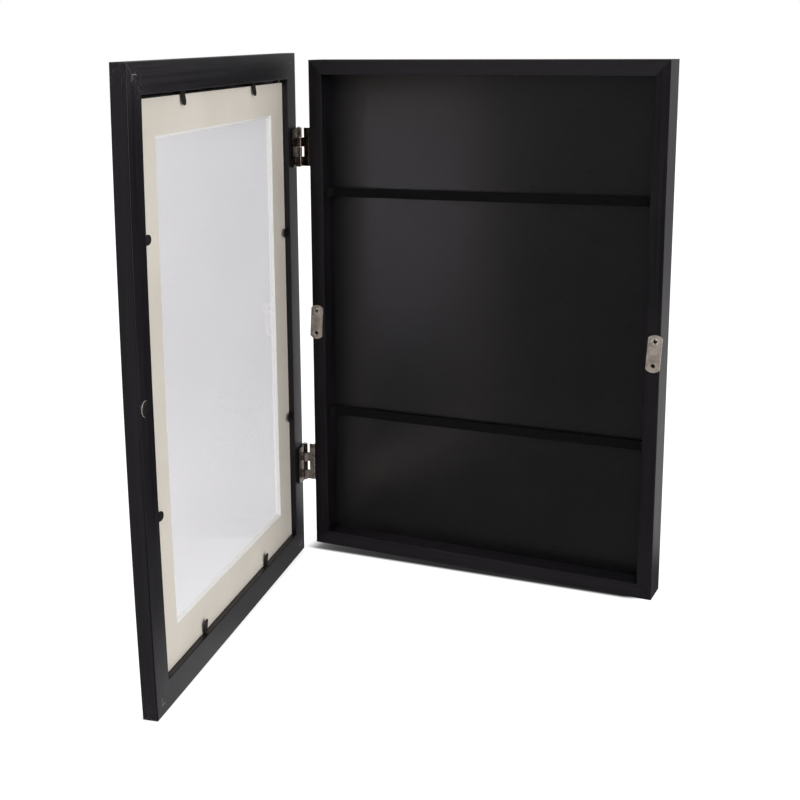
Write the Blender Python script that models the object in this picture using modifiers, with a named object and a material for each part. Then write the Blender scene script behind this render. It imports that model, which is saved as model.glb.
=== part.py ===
"""Front-opening display frame for drawings: a shallow wall box with a hinged, glazed door.

Metres, +Z up. The box's front faces -Y and its back faces +Y, towards the wall. The origin is
the centre of the box's underside. The door is modelled standing open, hinged on the left.
"""
import math

import bmesh
import bpy
from mathutils import Matrix, Vector

# Clearances
FIT_GAP = 0.0003            # between pieces that touch
CUT_OVERRUN = 0.002         # how far a cutter runs past the face that it opens

# Box
BOX_WIDTH = 0.2635
BOX_HEIGHT = 0.370
BOX_DEPTH = 0.023
BOX_RAIL = 0.0105           # width of a rail's front face
BOX_INNER_DEPTH = 0.016     # front face to the shoulder that the back panel rests on
BOX_REBATE = 0.004          # width of the rear rebate
PANEL_THICKNESS = 0.0025
EDGE_ROUND = 0.0005         # rounding along a rail's corners
EDGE_STEPS = 2

# Door
DOOR_OPEN_ANGLE = math.radians(80)
DOOR_OVERHANG = 0.005       # how far the door passes the box on every side
DOOR_GAP = 0.0019           # door back to box front when shut
DOOR_THICKNESS = 0.010
DOOR_RAIL = 0.018           # width of a rail's back face
DOOR_LIP = 0.0045           # how far the front lip passes the rebate's wall
LIP_THICKNESS = 0.003
GLAZING_THICKNESS = 0.0012
MAT_THICKNESS = 0.0022
MAT_SIDE_SLACK = 0.0005
MAT_TOP_SLACK = 0.0025      # the mat stands on the bottom rail, so its slack is at the top
MAT_SIDE_BORDER = 0.02425   # rebate's wall to the window, at the mat's back face
MAT_END_BORDER = 0.024

# Hinges
PIN_OUTSET = 0.0081         # pin axis from the box's left side
PIN_RADIUS = 0.0009
PIN_CLEARANCE = 0.0001
PIN_HEAD_RADIUS = 0.0015
PIN_HEAD = 0.0005
BARREL_RADIUS = 0.0021
HINGE_HEIGHT = 0.028
HINGE_FROM_TOP = 0.0627     # hinge centre from the box's top
HINGE_FROM_BOTTOM = 0.0654
LEAF_THICKNESS = 0.0011
LEAF_CORNER = 0.0015
DOOR_LEAF_REACH = 0.0122    # over the door's back, from its hinge edge
DOOR_LEAF_RELIEF = 0.0008   # door leaf to the box leaf's knuckles
BOX_LEAF_REACH = 0.0155     # along the box's side, from its front
BOX_LEAF_RELIEF = 0.0015    # box leaf to the door leaf's knuckles
BOX_LEAF_PROUD = 0.0002     # how far the box leaf stands in front of the box
LEAF_SCREW_MARGIN = 0.005   # screw centre from the leaf's end
DOOR_LEAF_SCREW_INSET = 0.0055
BOX_LEAF_SCREW_INSET = 0.009
KNUCKLE_COUNT = 4

# Countersunk screws
SCREW_HEAD_RADIUS = 0.0022
SCREW_HEAD_HEIGHT = 0.0009
SCREW_RADIUS = 0.0011
SCREW_LENGTH = 0.008
SCREW_TIP = 0.002
RECESS_SPAN = 0.0026        # cross recess, tip to tip
RECESS_WIDTH = 0.0007
RECESS_TIP_WIDTH = 0.0005
RECESS_DEPTH = 0.0005

# Strike plates and magnet
STRIKE_LENGTH = 0.026
STRIKE_WIDTH = 0.0096
STRIKE_END_RADIUS = 0.0065  # of the curve along each end
STRIKE_THICKNESS = 0.0011
STRIKE_HOLE_SPACING = 0.017
STRIKE_INSET = 0.004        # plate centre from the box's side
STRIKE_DROP = 0.0085        # plate centre below the middle of the box
STRIKE_TILT = math.radians(3.4)
MAGNET_RADIUS = 0.0047
MAGNET_THICKNESS = 0.0025
MAGNET_RECESS = 0.0001      # how far the magnet lies below the wood
MAGNET_INSET = 0.0072       # magnet centre from the door's free edge
MAGNET_DROP = 0.0017        # magnet centre below the middle of the door

# Elastic bands and their staples
BAND_WIDTH = 0.0065
BAND_THICKNESS = 0.0011
BAND_STANDOFF = 0.0026      # band to back panel
BAND_FLAP = 0.009           # turned-in end along the side wall
UPPER_BAND_FROM_TOP = 0.095
UPPER_BAND_RISE = 0.0035    # right end above left end
LOWER_BAND_FROM_BOTTOM = 0.106
LOWER_BAND_RISE = 0.002
STAPLE_WIRE = 0.0007
STAPLE_CROWN = 0.0095
STAPLE_LEG = 0.0045

# Sawtooth hangers on the back panel
HANGER_LENGTH = 0.045
HANGER_HEIGHT = 0.009
HANGER_THICKNESS = 0.0008
HANGER_FOOT = 0.008         # flat part at each end
HANGER_RAMP = 0.0025
HANGER_RISE = 0.0016        # how far the toothed middle stands off
HANGER_MARGIN = 0.012       # hanger centre line from the panel's edge
TOOTH_PITCH = 0.0028
TOOTH_DEPTH = 0.0016
TOOTH_COUNT = 9
NAIL_HEAD_RADIUS = 0.002
NAIL_HEAD = 0.0008
NAIL_RADIUS = 0.0007
NAIL_LENGTH = 0.0018        # shank in the back panel

# Flat points that hold the back panel
POINT_LENGTH = 0.009
POINT_WIDTH = 0.006
POINT_THICKNESS = 0.0006
POINT_DRIVEN = 0.0042       # length inside the rail

# V nails across the door's mitres
VNAIL_INSET = 0.0065        # apex from both outer edges
VNAIL_LEG = 0.005
VNAIL_THICKNESS = 0.0006
VNAIL_DEPTH = 0.006
VNAIL_RECESS = 0.0002

# Bendable tabs that hold the mat
TAB_WIDTH = 0.006
TAB_LENGTH = 0.0085
TAB_THICKNESS = 0.0005
TAB_LIFT = 0.0004           # root above the mat
TAB_SPLAY = math.radians(5)

TURN_STEPS = 20
ROUND_STEPS = 6

DOOR_WIDTH = BOX_WIDTH + 2 * DOOR_OVERHANG
DOOR_HEIGHT = BOX_HEIGHT + 2 * DOOR_OVERHANG
WINDOW_WIDTH = DOOR_WIDTH - 2 * (DOOR_RAIL + MAT_SIDE_BORDER)
WINDOW_HEIGHT = DOOR_HEIGHT - 2 * (DOOR_RAIL + MAT_END_BORDER)
PANEL_FRONT = BOX_INNER_DEPTH + FIT_GAP
PANEL_BACK = PANEL_FRONT + PANEL_THICKNESS
BORE_RADIUS = PIN_RADIUS + PIN_CLEARANCE
KNUCKLE_HEIGHT = HINGE_HEIGHT / KNUCKLE_COUNT
LEAF_SCREW_REACH = HINGE_HEIGHT / 2 - LEAF_SCREW_MARGIN

# Door pieces are placed from the pin, as if the door were shut: x along the door, y to its back
DOOR_EDGE = PIN_OUTSET - DOOR_OVERHANG
DOOR_BACK = -DOOR_GAP / 2
DOOR_FRONT = DOOR_BACK - DOOR_THICKNESS
GLAZING_FRONT = DOOR_FRONT + LIP_THICKNESS + FIT_GAP
MAT_FRONT = GLAZING_FRONT + GLAZING_THICKNESS + FIT_GAP
MAT_BACK = MAT_FRONT + MAT_THICKNESS
PIN_FRONT = -DOOR_GAP / 2    # pin axis, measured as the box is, from its front face

HINGE_CENTRES = {"upper": BOX_HEIGHT - HINGE_FROM_TOP, "lower": HINGE_FROM_BOTTOM}

# Places of the tabs along each rail, as shares of the door's width or height
TAB_PLACE_SHARES = {
    "top": (0.284, 0.709),
    "bottom": (0.291, 0.704),
    "hinge_side": (0.296, 0.663),
    "free_side": (0.311, 0.741),
}
POINT_PLACE_SHARES = {"top": 0.3, "bottom": 0.7, "left": 0.36, "right": 0.64}


def clear_scene():
    for thing in list(bpy.data.objects):
        bpy.data.objects.remove(thing, do_unlink=True)


def make_collection(name):
    collection = bpy.data.collections.new(name)
    bpy.context.scene.collection.children.link(collection)
    return collection


def make_material(name, colour, roughness, metallic=0.0, alpha=1.0):
    material = bpy.data.materials.new(name)
    material.use_nodes = True
    shader = material.node_tree.nodes["Principled BSDF"]
    shader.inputs["Base Color"].default_value = (*colour, 1.0)
    shader.inputs["Roughness"].default_value = roughness
    shader.inputs["Metallic"].default_value = metallic
    shader.inputs["Alpha"].default_value = alpha
    return material


def finish_mesh(mesh):
    """Weld a mesh's loose borders and point its faces outwards."""
    work = bmesh.new()
    work.from_mesh(mesh)
    bmesh.ops.remove_doubles(work, verts=work.verts, dist=FIT_GAP / 100)
    bmesh.ops.recalc_face_normals(work, faces=work.faces)
    work.to_mesh(mesh)
    work.free()
    return mesh


def outline_mesh(outlines, thickness):
    """A flat plate in XY, centred on Z = 0. Outlines after the first are its holes."""
    curve = bpy.data.curves.new("outline", "CURVE")
    curve.dimensions = "2D"
    curve.fill_mode = "BOTH"
    curve.extrude = thickness / 2
    for outline in outlines:
        spline = curve.splines.new("POLY")
        spline.points.add(len(outline) - 1)
        for point, (x, y) in zip(spline.points, outline):
            point.co = (x, y, 0, 1)
        spline.use_cyclic_u = True
    holder = bpy.data.objects.new("outline", curve)
    bpy.context.scene.collection.objects.link(holder)
    graph = bpy.context.evaluated_depsgraph_get()
    mesh = bpy.data.meshes.new_from_object(holder.evaluated_get(graph))
    bpy.data.objects.remove(holder)
    bpy.data.curves.remove(curve)
    mesh.materials.clear()
    return finish_mesh(mesh)


def rounded(outline, radius, steps):
    """The outline with each corner turned into an arc of the given radius."""
    points = []
    count = len(outline)
    for index in range(count):
        corner = Vector(outline[index])
        before = (Vector(outline[index - 1]) - corner).normalized()
        after = (Vector(outline[(index + 1) % count]) - corner).normalized()
        half = before.angle(after) / 2
        reach = radius / math.tan(half)
        centre = corner + (before + after).normalized() * radius / math.sin(half)
        start = corner + before * reach - centre
        sweep = math.pi - 2 * half
        turn = 1 if before.x * after.y - before.y * after.x < 0 else -1
        for step in range(steps + 1):
            spoke = start.copy()
            spoke.rotate(Matrix.Rotation(turn * sweep * step / steps, 2))
            points.append(tuple(centre + spoke))
    return points


def round_ended(length, width, end_radius, steps):
    """An outline with curved ends, longest along Y."""
    half = math.asin(width / 2 / end_radius)
    offset = length / 2 - end_radius
    points = []
    for side in (1, -1):
        for step in range(steps + 1):
            angle = half * (2 * step / steps - 1)
            points.append((-side * end_radius * math.sin(angle),
                           side * (offset + end_radius * math.cos(angle))))
    return points


def rectangle(low_x, low_y, high_x, high_y):
    return [(low_x, low_y), (high_x, low_y), (high_x, high_y), (low_x, high_y)]


def place(name, mesh, material, collection, parent):
    mesh.name = name
    if material is not None and not mesh.materials:
        mesh.materials.append(material)
    item = bpy.data.objects.new(name, mesh)
    collection.objects.link(item)
    item.parent = parent
    return item


def add_empty(name, collection, location, turn=0.0, parent=None):
    empty = bpy.data.objects.new(name, None)
    empty.empty_display_size = BOX_DEPTH
    collection.objects.link(empty)
    empty.location = location
    empty.rotation_euler = (0, 0, turn)
    empty.parent = parent
    return empty


def block_mesh(low, high):
    """A box between two corners."""
    work = bmesh.new()
    bmesh.ops.create_cube(work, size=1)
    low = Vector(low)
    high = Vector(high)
    size = high - low
    centre = (low + high) / 2
    for vert in work.verts:
        vert.co = Vector(a * b + c for a, b, c in zip(vert.co, size, centre))
    mesh = bpy.data.meshes.new("block")
    work.to_mesh(mesh)
    work.free()
    return mesh


def rod_mesh(radius, height, steps=TURN_STEPS):
    """An upright cylinder centred on the origin."""
    work = bmesh.new()
    bmesh.ops.create_cone(
        work, cap_ends=True, segments=steps, radius1=radius, radius2=radius, depth=height)
    mesh = bpy.data.meshes.new("rod")
    work.to_mesh(mesh)
    work.free()
    return mesh


def turned_mesh(profile):
    """A mesh of the profile's edges, from the top of the axis down the outer side."""
    mesh = bpy.data.meshes.new("turned")
    verts = [(radius, 0, height) for radius, height in profile]
    edges = [(index, index + 1) for index in range(len(profile) - 1)]
    mesh.from_pydata(verts, edges, [])
    return mesh


def turn(item, steps=TURN_STEPS):
    screw = item.modifiers.new("Turn", "SCREW")
    screw.axis = "Z"
    screw.angle = math.tau
    screw.steps = steps
    screw.render_steps = steps
    screw.use_merge_vertices = True
    screw.merge_threshold = FIT_GAP / 100
    return screw


def make_cutter(name, mesh, cutters, parent, matrix=None):
    cutter = place(name, mesh, None, cutters, parent)
    cutter.hide_render = True
    cutter.display_type = "WIRE"
    if matrix is not None:
        cutter.matrix_local = matrix
    return cutter


def cut(item, cutter):
    boolean = item.modifiers.new("Cut " + cutter.name, "BOOLEAN")
    boolean.operation = "DIFFERENCE"
    boolean.solver = "EXACT"
    boolean.object = cutter
    return boolean


def join(item, other):
    boolean = item.modifiers.new("Join " + other.name, "BOOLEAN")
    boolean.operation = "UNION"
    boolean.solver = "EXACT"
    boolean.object = other
    return boolean


class Workshop:
    """The collections, empties, materials and shared meshes that every piece uses."""

    def __init__(self):
        self.parts = make_collection("art_display_frame")
        self.cutters = make_collection("cutters")
        corner = (-BOX_WIDTH / 2, -BOX_DEPTH / 2, 0)
        self.box = add_empty("box_corner", self.parts, corner)
        pin = (corner[0] - PIN_OUTSET, corner[1] + PIN_FRONT, 0)
        self.door = add_empty("door_pivot", self.parts, pin, -DOOR_OPEN_ANGLE)
        self.wood = make_material("black_painted_wood", (0.028, 0.026, 0.029), 0.55)
        self.board = make_material("black_backboard", (0.035, 0.035, 0.037), 0.6)
        self.sheet = make_material("clear_sheet", (0.72, 0.71, 0.74), 0.2, 0.0, 0.6)
        self.card = make_material("cream_card", (0.72, 0.68, 0.62), 0.9)
        self.steel = make_material("dark_nickel", (0.36, 0.33, 0.30), 0.35, 1.0)
        self.nickel = make_material("bright_nickel", (0.62, 0.59, 0.55), 0.3, 1.0)
        self.band = make_material("black_elastic", (0.012, 0.012, 0.013), 0.8)
        self.tab = make_material("black_steel", (0.03, 0.028, 0.027), 0.4, 0.6)
        self.screw_mesh = None
        self.nail_mesh = None

    def piece(self, name, mesh, material, parent):
        return place(name, mesh, material, self.parts, parent)

    def cutter(self, name, mesh, parent, matrix=None):
        return make_cutter(name + "_cutter", mesh, self.cutters, parent, matrix)


def rail_mesh(profile, length, seat):
    """Run a profile of (inward, depth) points along a rail and mitre both its ends."""
    mesh = outline_mesh([profile], 1)
    trim = FIT_GAP / math.sqrt(2)
    for vert in mesh.vertices:
        inward, depth, end = vert.co
        along = inward + trim if end < 0 else length - inward - trim
        vert.co = seat(along, inward, depth)
    return finish_mesh(mesh)


def rail_seats(low_x, low_z, width, height):
    """How each rail's own along, inward and depth lie in the frame, and its length."""
    return {
        "bottom": (width, lambda a, i, d: (low_x + a, d, low_z + i)),
        "top": (width, lambda a, i, d: (low_x + a, d, low_z + height - i)),
        "left": (height, lambda a, i, d: (low_x + i, d, low_z + a)),
        "right": (height, lambda a, i, d: (low_x + width - i, d, low_z + a)),
    }


def build_box_rails(shop):
    inner = BOX_RAIL - BOX_REBATE
    profile = [(0, 0), (BOX_RAIL, 0), (BOX_RAIL, BOX_INNER_DEPTH), (inner, BOX_INNER_DEPTH),
               (inner, BOX_DEPTH), (0, BOX_DEPTH)]
    profile = rounded(profile, EDGE_ROUND, EDGE_STEPS)
    names = {"bottom": "box_bottom_rail", "top": "box_top_rail",
             "left": "box_left_stile", "right": "box_right_stile"}
    rails = {}
    for side, (length, seat) in rail_seats(0, 0, BOX_WIDTH, BOX_HEIGHT).items():
        mesh = rail_mesh(profile, length, seat)
        rails[side] = shop.piece(names[side], mesh, shop.wood, shop.box)
    return rails


def build_door_rails(shop):
    lip_back = DOOR_FRONT + LIP_THICKNESS
    profile = [(0, DOOR_BACK), (DOOR_RAIL, DOOR_BACK), (DOOR_RAIL, lip_back),
               (DOOR_RAIL + DOOR_LIP, lip_back), (DOOR_RAIL + DOOR_LIP, DOOR_FRONT),
               (0, DOOR_FRONT)]
    profile = rounded(profile, EDGE_ROUND, EDGE_STEPS)
    names = {"bottom": "door_bottom_rail", "top": "door_top_rail",
             "left": "door_hinge_stile", "right": "door_free_stile"}
    rails = {}
    seats = rail_seats(DOOR_EDGE, -DOOR_OVERHANG, DOOR_WIDTH, DOOR_HEIGHT)
    for side, (length, seat) in seats.items():
        mesh = rail_mesh(profile, length, seat)
        rails[side] = shop.piece(names[side], mesh, shop.wood, shop.door)
    return rails


def build_back_panel(shop):
    edge = BOX_RAIL - BOX_REBATE + FIT_GAP
    mesh = block_mesh((edge, PANEL_FRONT, edge),
                      (BOX_WIDTH - edge, PANEL_BACK, BOX_HEIGHT - edge))
    return shop.piece("back_panel", mesh, shop.board, shop.box)


def build_panel_points(shop, rails):
    """Flat points driven into the rebate's walls, lying on the back panel."""
    wall = BOX_RAIL - BOX_REBATE
    free = POINT_LENGTH - POINT_DRIVEN
    low_y = PANEL_BACK + FIT_GAP
    for side, (length, seat) in rail_seats(0, 0, BOX_WIDTH, BOX_HEIGHT).items():
        middle = length * POINT_PLACE_SHARES[side]
        for grow in (0, FIT_GAP):
            half = POINT_WIDTH / 2 + grow
            low = seat(middle - half, wall - POINT_DRIVEN - grow, low_y - grow)
            high = seat(middle + half, wall + free + grow, low_y + POINT_THICKNESS + grow)
            mesh = block_mesh([min(pair) for pair in zip(low, high)],
                              [max(pair) for pair in zip(low, high)])
            if grow:
                cutter = shop.cutter("point_slot_" + side, mesh, shop.box)
                cut(rails[side], cutter)
            else:
                shop.piece("panel_point_" + side, mesh, shop.steel, shop.box)


def screw_profile(grow):
    """A countersunk screw, head up, its top at height 0. grow widens it into a hole."""
    head = SCREW_HEAD_RADIUS + grow
    shank = SCREW_RADIUS + grow
    tip = -SCREW_LENGTH - grow
    top = CUT_OVERRUN if grow else 0
    profile = [(0, top), (head, top)]
    if grow:
        profile.append((head, 0))
    profile += [(shank, -SCREW_HEAD_HEIGHT), (shank, tip + SCREW_TIP), (0, tip)]
    return profile


def add_screw(shop, name, parent, matrix, pieces, bare=False):
    """Seat a screw at a matrix whose +Z points out of the wood, and bore what it holds."""
    hole = shop.cutter(name + "_hole", turned_mesh(screw_profile(FIT_GAP)), parent, matrix)
    turn(hole)
    for piece in pieces:
        cut(piece, hole)
    if bare:
        return
    if shop.screw_mesh is None:
        shop.screw_mesh = turned_mesh(screw_profile(0))
    screw = shop.piece(name, shop.screw_mesh, shop.steel, parent)
    screw.matrix_local = matrix
    turn(screw)
    arm = RECESS_SPAN / 2
    half = RECESS_WIDTH / 2
    tip = RECESS_TIP_WIDTH / 2
    cross = [(arm, tip), (half, half), (tip, arm), (-tip, arm), (-half, half), (-arm, tip),
             (-arm, -tip), (-half, -half), (-tip, -arm), (tip, -arm), (half, -half), (arm, -tip)]
    recess = shop.cutter(name + "_recess", outline_mesh([cross], 2 * RECESS_DEPTH), parent, matrix)
    cut(screw, recess)


def facing(location, normal, up=(0, 0, 1)):
    """A placement whose +Z is the normal and whose +Y leans as near to up as it can."""
    z_axis = Vector(normal).normalized()
    x_axis = Vector(up).cross(z_axis).normalized()
    y_axis = z_axis.cross(x_axis)
    turned = Matrix((x_axis, y_axis, z_axis)).transposed().to_4x4()
    return Matrix.Translation(location) @ turned


def build_strike_plates(shop, rails):
    """Steel plates on the box's stiles. Each has two holes, and a screw in the upper one."""
    back = -FIT_GAP
    front = back - STRIKE_THICKNESS
    sides = {"left": STRIKE_INSET, "right": BOX_WIDTH - STRIKE_INSET}
    for side, x in sides.items():
        centre = Vector((x, (front + back) / 2, BOX_HEIGHT / 2 - STRIKE_DROP))
        lean = Matrix.Rotation(STRIKE_TILT, 4, "Y")
        upright = facing((0, 0, 0), (0, -1, 0))
        matrix = Matrix.Translation(centre) @ lean @ upright
        outline = round_ended(STRIKE_LENGTH, STRIKE_WIDTH, STRIKE_END_RADIUS, ROUND_STEPS)
        mesh = outline_mesh([outline], STRIKE_THICKNESS)
        plate = shop.piece(side + "_strike_plate", mesh, shop.nickel, shop.box)
        plate.matrix_local = matrix
        for end, bare in ((1, False), (-1, True)):
            seat = Matrix.Translation((0, end * STRIKE_HOLE_SPACING / 2, STRIKE_THICKNESS / 2))
            held = [plate] if bare else [plate, rails[side]]
            label = side + ("_strike_lower" if bare else "_strike_screw")
            add_screw(shop, label, shop.box, matrix @ seat, held, bare)


def build_magnet(shop, rails):
    """A disc let into the door's free stile, just below the middle of the door."""
    x = DOOR_EDGE + DOOR_WIDTH - MAGNET_INSET
    z = DOOR_HEIGHT / 2 - DOOR_OVERHANG - MAGNET_DROP
    matrix = facing((x, DOOR_BACK - MAGNET_RECESS - MAGNET_THICKNESS / 2, z), (0, 1, 0))
    magnet = shop.piece("door_magnet", rod_mesh(MAGNET_RADIUS, MAGNET_THICKNESS),
                        shop.nickel, shop.door)
    magnet.matrix_local = matrix
    deep = MAGNET_THICKNESS + MAGNET_RECESS + FIT_GAP
    height = deep + CUT_OVERRUN
    centre = (x, DOOR_BACK - deep + height / 2, z)
    pocket = shop.cutter("magnet_pocket", rod_mesh(MAGNET_RADIUS + FIT_GAP, height), shop.door,
                         facing(centre, (0, 1, 0)))
    cut(rails["right"], pocket)


def knuckle_spans(door_side):
    """The knuckles of one leaf, as heights from the hinge's centre, cleared at each joint."""
    spans = []
    for index in range(KNUCKLE_COUNT):
        if (index % 2 == 0) != door_side:
            continue
        top = HINGE_HEIGHT / 2 - index * KNUCKLE_HEIGHT
        low = top - KNUCKLE_HEIGHT
        trim_top = FIT_GAP / 2 if index else 0
        trim_low = FIT_GAP / 2 if index < KNUCKLE_COUNT - 1 else 0
        spans.append((low + trim_low, top - trim_top))
    return spans


def roll_knuckles(shop, leaf, name, parent, centre, door_side):
    """Join a leaf's knuckles to it and bore them for the pin."""
    x, y, z = centre
    for index, (low, high) in enumerate(knuckle_spans(door_side)):
        knuckle = shop.cutter(f"{name}_knuckle_{index}", rod_mesh(BARREL_RADIUS, high - low),
                              parent, Matrix.Translation((x, y, z + (low + high) / 2)))
        join(leaf, knuckle)
    bore = shop.cutter(name + "_bore", rod_mesh(BORE_RADIUS, HINGE_HEIGHT + 2 * CUT_OVERRUN),
                       parent, Matrix.Translation(centre))
    cut(leaf, bore)


def relieve(shop, leaf, name, parent, centre, near, far, door_side):
    """Cut a leaf back beside the other leaf's knuckles, between two places along X."""
    x, y, z = centre
    half = HINGE_HEIGHT / 2
    for index, (low, high) in enumerate(knuckle_spans(not door_side)):
        low = low - FIT_GAP if low > -half else low - CUT_OVERRUN
        high = high + FIT_GAP if high < half else high + CUT_OVERRUN
        mesh = block_mesh((x + near, y - BARREL_RADIUS, z + low),
                          (x + far, y + BARREL_RADIUS, z + high))
        cut(leaf, shop.cutter(f"{name}_relief_{index}", mesh, parent))


def build_door_leaf(shop, level, height, stile):
    """A flat leaf on the door's back, with the first and third knuckles."""
    name = level + "_door_leaf"
    low_y = DOOR_BACK + FIT_GAP
    far = DOOR_EDGE + DOOR_LEAF_REACH
    half = HINGE_HEIGHT / 2
    near = (PIN_RADIUS + BARREL_RADIUS) / 2
    outline = [(near, -half), (far - LEAF_CORNER, -half), (far, LEAF_CORNER - half),
               (far, half - LEAF_CORNER), (far - LEAF_CORNER, half), (near, half)]
    mesh = outline_mesh([outline], LEAF_THICKNESS)
    upright = Matrix.Rotation(math.pi / 2, 4, "X")
    mesh.transform(Matrix.Translation((0, low_y + LEAF_THICKNESS / 2, height)) @ upright)
    leaf = shop.piece(name, mesh, shop.steel, shop.door)
    centre = (0, 0, height)
    relieve(shop, leaf, name, shop.door, centre, 0, BARREL_RADIUS + DOOR_LEAF_RELIEF, True)
    roll_knuckles(shop, leaf, name, shop.door, centre, True)
    x = DOOR_EDGE + DOOR_LEAF_SCREW_INSET
    for end, label in ((1, "a"), (-1, "b")):
        z = height + end * LEAF_SCREW_REACH
        seat = facing((x, low_y + LEAF_THICKNESS, z), (0, 1, 0))
        add_screw(shop, f"{name}_screw_{label}", shop.door, seat, [leaf, stile])


def build_box_leaf(shop, level, height, stile):
    """A leaf bent round the box's front corner, with the second and fourth knuckles."""
    name = level + "_box_leaf"
    inner = -FIT_GAP
    outer = inner - LEAF_THICKNESS
    front = -BOX_LEAF_PROUD
    near = PIN_RADIUS - PIN_OUTSET
    outline = [(near, front), (inner - LEAF_THICKNESS / 2, front), (inner, front + LEAF_THICKNESS / 2),
               (inner, BOX_LEAF_REACH), (outer, BOX_LEAF_REACH), (outer, front + LEAF_THICKNESS),
               (near, front + LEAF_THICKNESS)]
    mesh = outline_mesh([outline], HINGE_HEIGHT)
    mesh.transform(Matrix.Translation((0, 0, height)))
    leaf = shop.piece(name, mesh, shop.steel, shop.box)
    centre = (-PIN_OUTSET, PIN_FRONT, height)
    relieve(shop, leaf, name, shop.box, centre, 0, BARREL_RADIUS + BOX_LEAF_RELIEF, False)
    roll_knuckles(shop, leaf, name, shop.box, centre, False)
    for end, label in ((1, "a"), (-1, "b")):
        z = height + end * LEAF_SCREW_REACH
        seat = facing((outer, BOX_LEAF_SCREW_INSET, z), (-1, 0, 0))
        add_screw(shop, f"{name}_screw_{label}", shop.box, seat, [leaf, stile])


def build_hinge_pin(shop, level, height):
    top = HINGE_HEIGHT / 2 + FIT_GAP
    rise = PIN_HEAD
    crown = PIN_HEAD_RADIUS / 2
    upper = [(0, top + rise), (crown, top + rise), (PIN_HEAD_RADIUS, top + rise / 2),
             (PIN_HEAD_RADIUS, top), (PIN_RADIUS, top)]
    profile = upper + [(radius, -z) for radius, z in reversed(upper)]
    pin = shop.piece(level + "_hinge_pin", turned_mesh(profile), shop.steel, shop.box)
    pin.location = (-PIN_OUTSET, PIN_FRONT, height)
    turn(pin)


def build_hinges(shop, box_rails, door_rails):
    for level, height in HINGE_CENTRES.items():
        build_door_leaf(shop, level, height, door_rails["left"])
        build_box_leaf(shop, level, height, box_rails["left"])
        build_hinge_pin(shop, level, height)


def build_glazing(shop):
    edge = DOOR_RAIL + FIT_GAP
    mesh = block_mesh(
        (DOOR_EDGE + edge, GLAZING_FRONT, edge - DOOR_OVERHANG),
        (DOOR_EDGE + DOOR_WIDTH - edge, GLAZING_FRONT + GLAZING_THICKNESS,
         DOOR_HEIGHT - DOOR_OVERHANG - edge))
    return shop.piece("glazing_sheet", mesh, shop.sheet, shop.door)


def build_mat(shop):
    """A card mat whose window is cut on a slant, wider towards the box."""
    side = DOOR_RAIL + MAT_SIDE_SLACK
    low_z = DOOR_RAIL + FIT_GAP - DOOR_OVERHANG
    high_z = DOOR_HEIGHT - DOOR_OVERHANG - DOOR_RAIL - MAT_TOP_SLACK
    mesh = block_mesh((DOOR_EDGE + side, MAT_FRONT, low_z),
                      (DOOR_EDGE + DOOR_WIDTH - side, MAT_BACK, high_z))
    mat = shop.piece("mat_board", mesh, shop.card, shop.door)
    centre_x = DOOR_EDGE + DOOR_WIDTH / 2
    centre_z = DOOR_HEIGHT / 2 - DOOR_OVERHANG
    window = block_mesh((-WINDOW_WIDTH / 2, MAT_FRONT - CUT_OVERRUN, -WINDOW_HEIGHT / 2),
                        (WINDOW_WIDTH / 2, MAT_BACK + CUT_OVERRUN, WINDOW_HEIGHT / 2))
    for vert in window.vertices:
        grow = vert.co.y - MAT_BACK
        vert.co.x += math.copysign(grow, vert.co.x) + centre_x
        vert.co.z += math.copysign(grow, vert.co.z) + centre_z
    cut(mat, shop.cutter("mat_window", window, shop.door))


def build_v_nails(shop, rails):
    """Thin V-shaped nails let in across the back of each door mitre."""
    corners = {"lower_hinge": (1, 1), "lower_free": (-1, 1),
               "upper_hinge": (1, -1), "upper_free": (-1, -1)}
    for label, (turn_x, turn_z) in corners.items():
        edge_x = DOOR_EDGE if turn_x > 0 else DOOR_EDGE + DOOR_WIDTH
        edge_z = (0 if turn_z > 0 else DOOR_HEIGHT) - DOOR_OVERHANG
        beside = [rails["left" if turn_x > 0 else "right"], rails["bottom" if turn_z > 0 else "top"]]
        for grow in (0, FIT_GAP):
            apex = VNAIL_INSET - grow
            reach = VNAIL_INSET + VNAIL_LEG + grow
            bend = VNAIL_INSET + VNAIL_THICKNESS + grow
            outline = [(apex, apex), (reach, apex), (reach, bend), (bend, bend), (bend, reach),
                       (apex, reach)]
            outline = [(edge_x + turn_x * x, edge_z + turn_z * z) for x, z in outline]
            high_y = DOOR_BACK + (CUT_OVERRUN if grow else -VNAIL_RECESS)
            low_y = DOOR_BACK - VNAIL_RECESS - VNAIL_DEPTH - grow
            mesh = outline_mesh([outline], high_y - low_y)
            upright = Matrix.Rotation(math.pi / 2, 4, "X")
            mesh.transform(Matrix.Translation((0, (low_y + high_y) / 2, 0)) @ upright)
            if grow:
                cutter = shop.cutter("v_nail_slot_" + label, mesh, shop.door)
                for rail in beside:
                    cut(rail, cutter)
            else:
                shop.piece("v_nail_" + label, mesh, shop.steel, shop.door)


def build_band(shop, name, height, rise):
    """A flat elastic band across the box, its ends turned forward along the side walls."""
    left = BOX_RAIL + FIT_GAP + BAND_THICKNESS / 2
    right = BOX_WIDTH - left
    y = PANEL_FRONT - BAND_STANDOFF - BAND_THICKNESS / 2
    flap = y - BAND_FLAP
    path = [(left, flap), (left, y), (right, y), (right, flap)]
    half = BAND_THICKNESS / 2
    outer = [(left - half, flap), (left - half, y + half), (right + half, y + half),
             (right + half, flap)]
    inner = [(right - half, flap), (right - half, y - half), (left + half, y - half),
             (left + half, flap)]
    mesh = outline_mesh([outer + inner], BAND_WIDTH)
    for vert in mesh.vertices:
        share = (vert.co.x - path[0][0]) / (right - left)
        vert.co.z += height + rise * (share - 0.5)
    return shop.piece(name, mesh, shop.band, shop.box)


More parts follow.
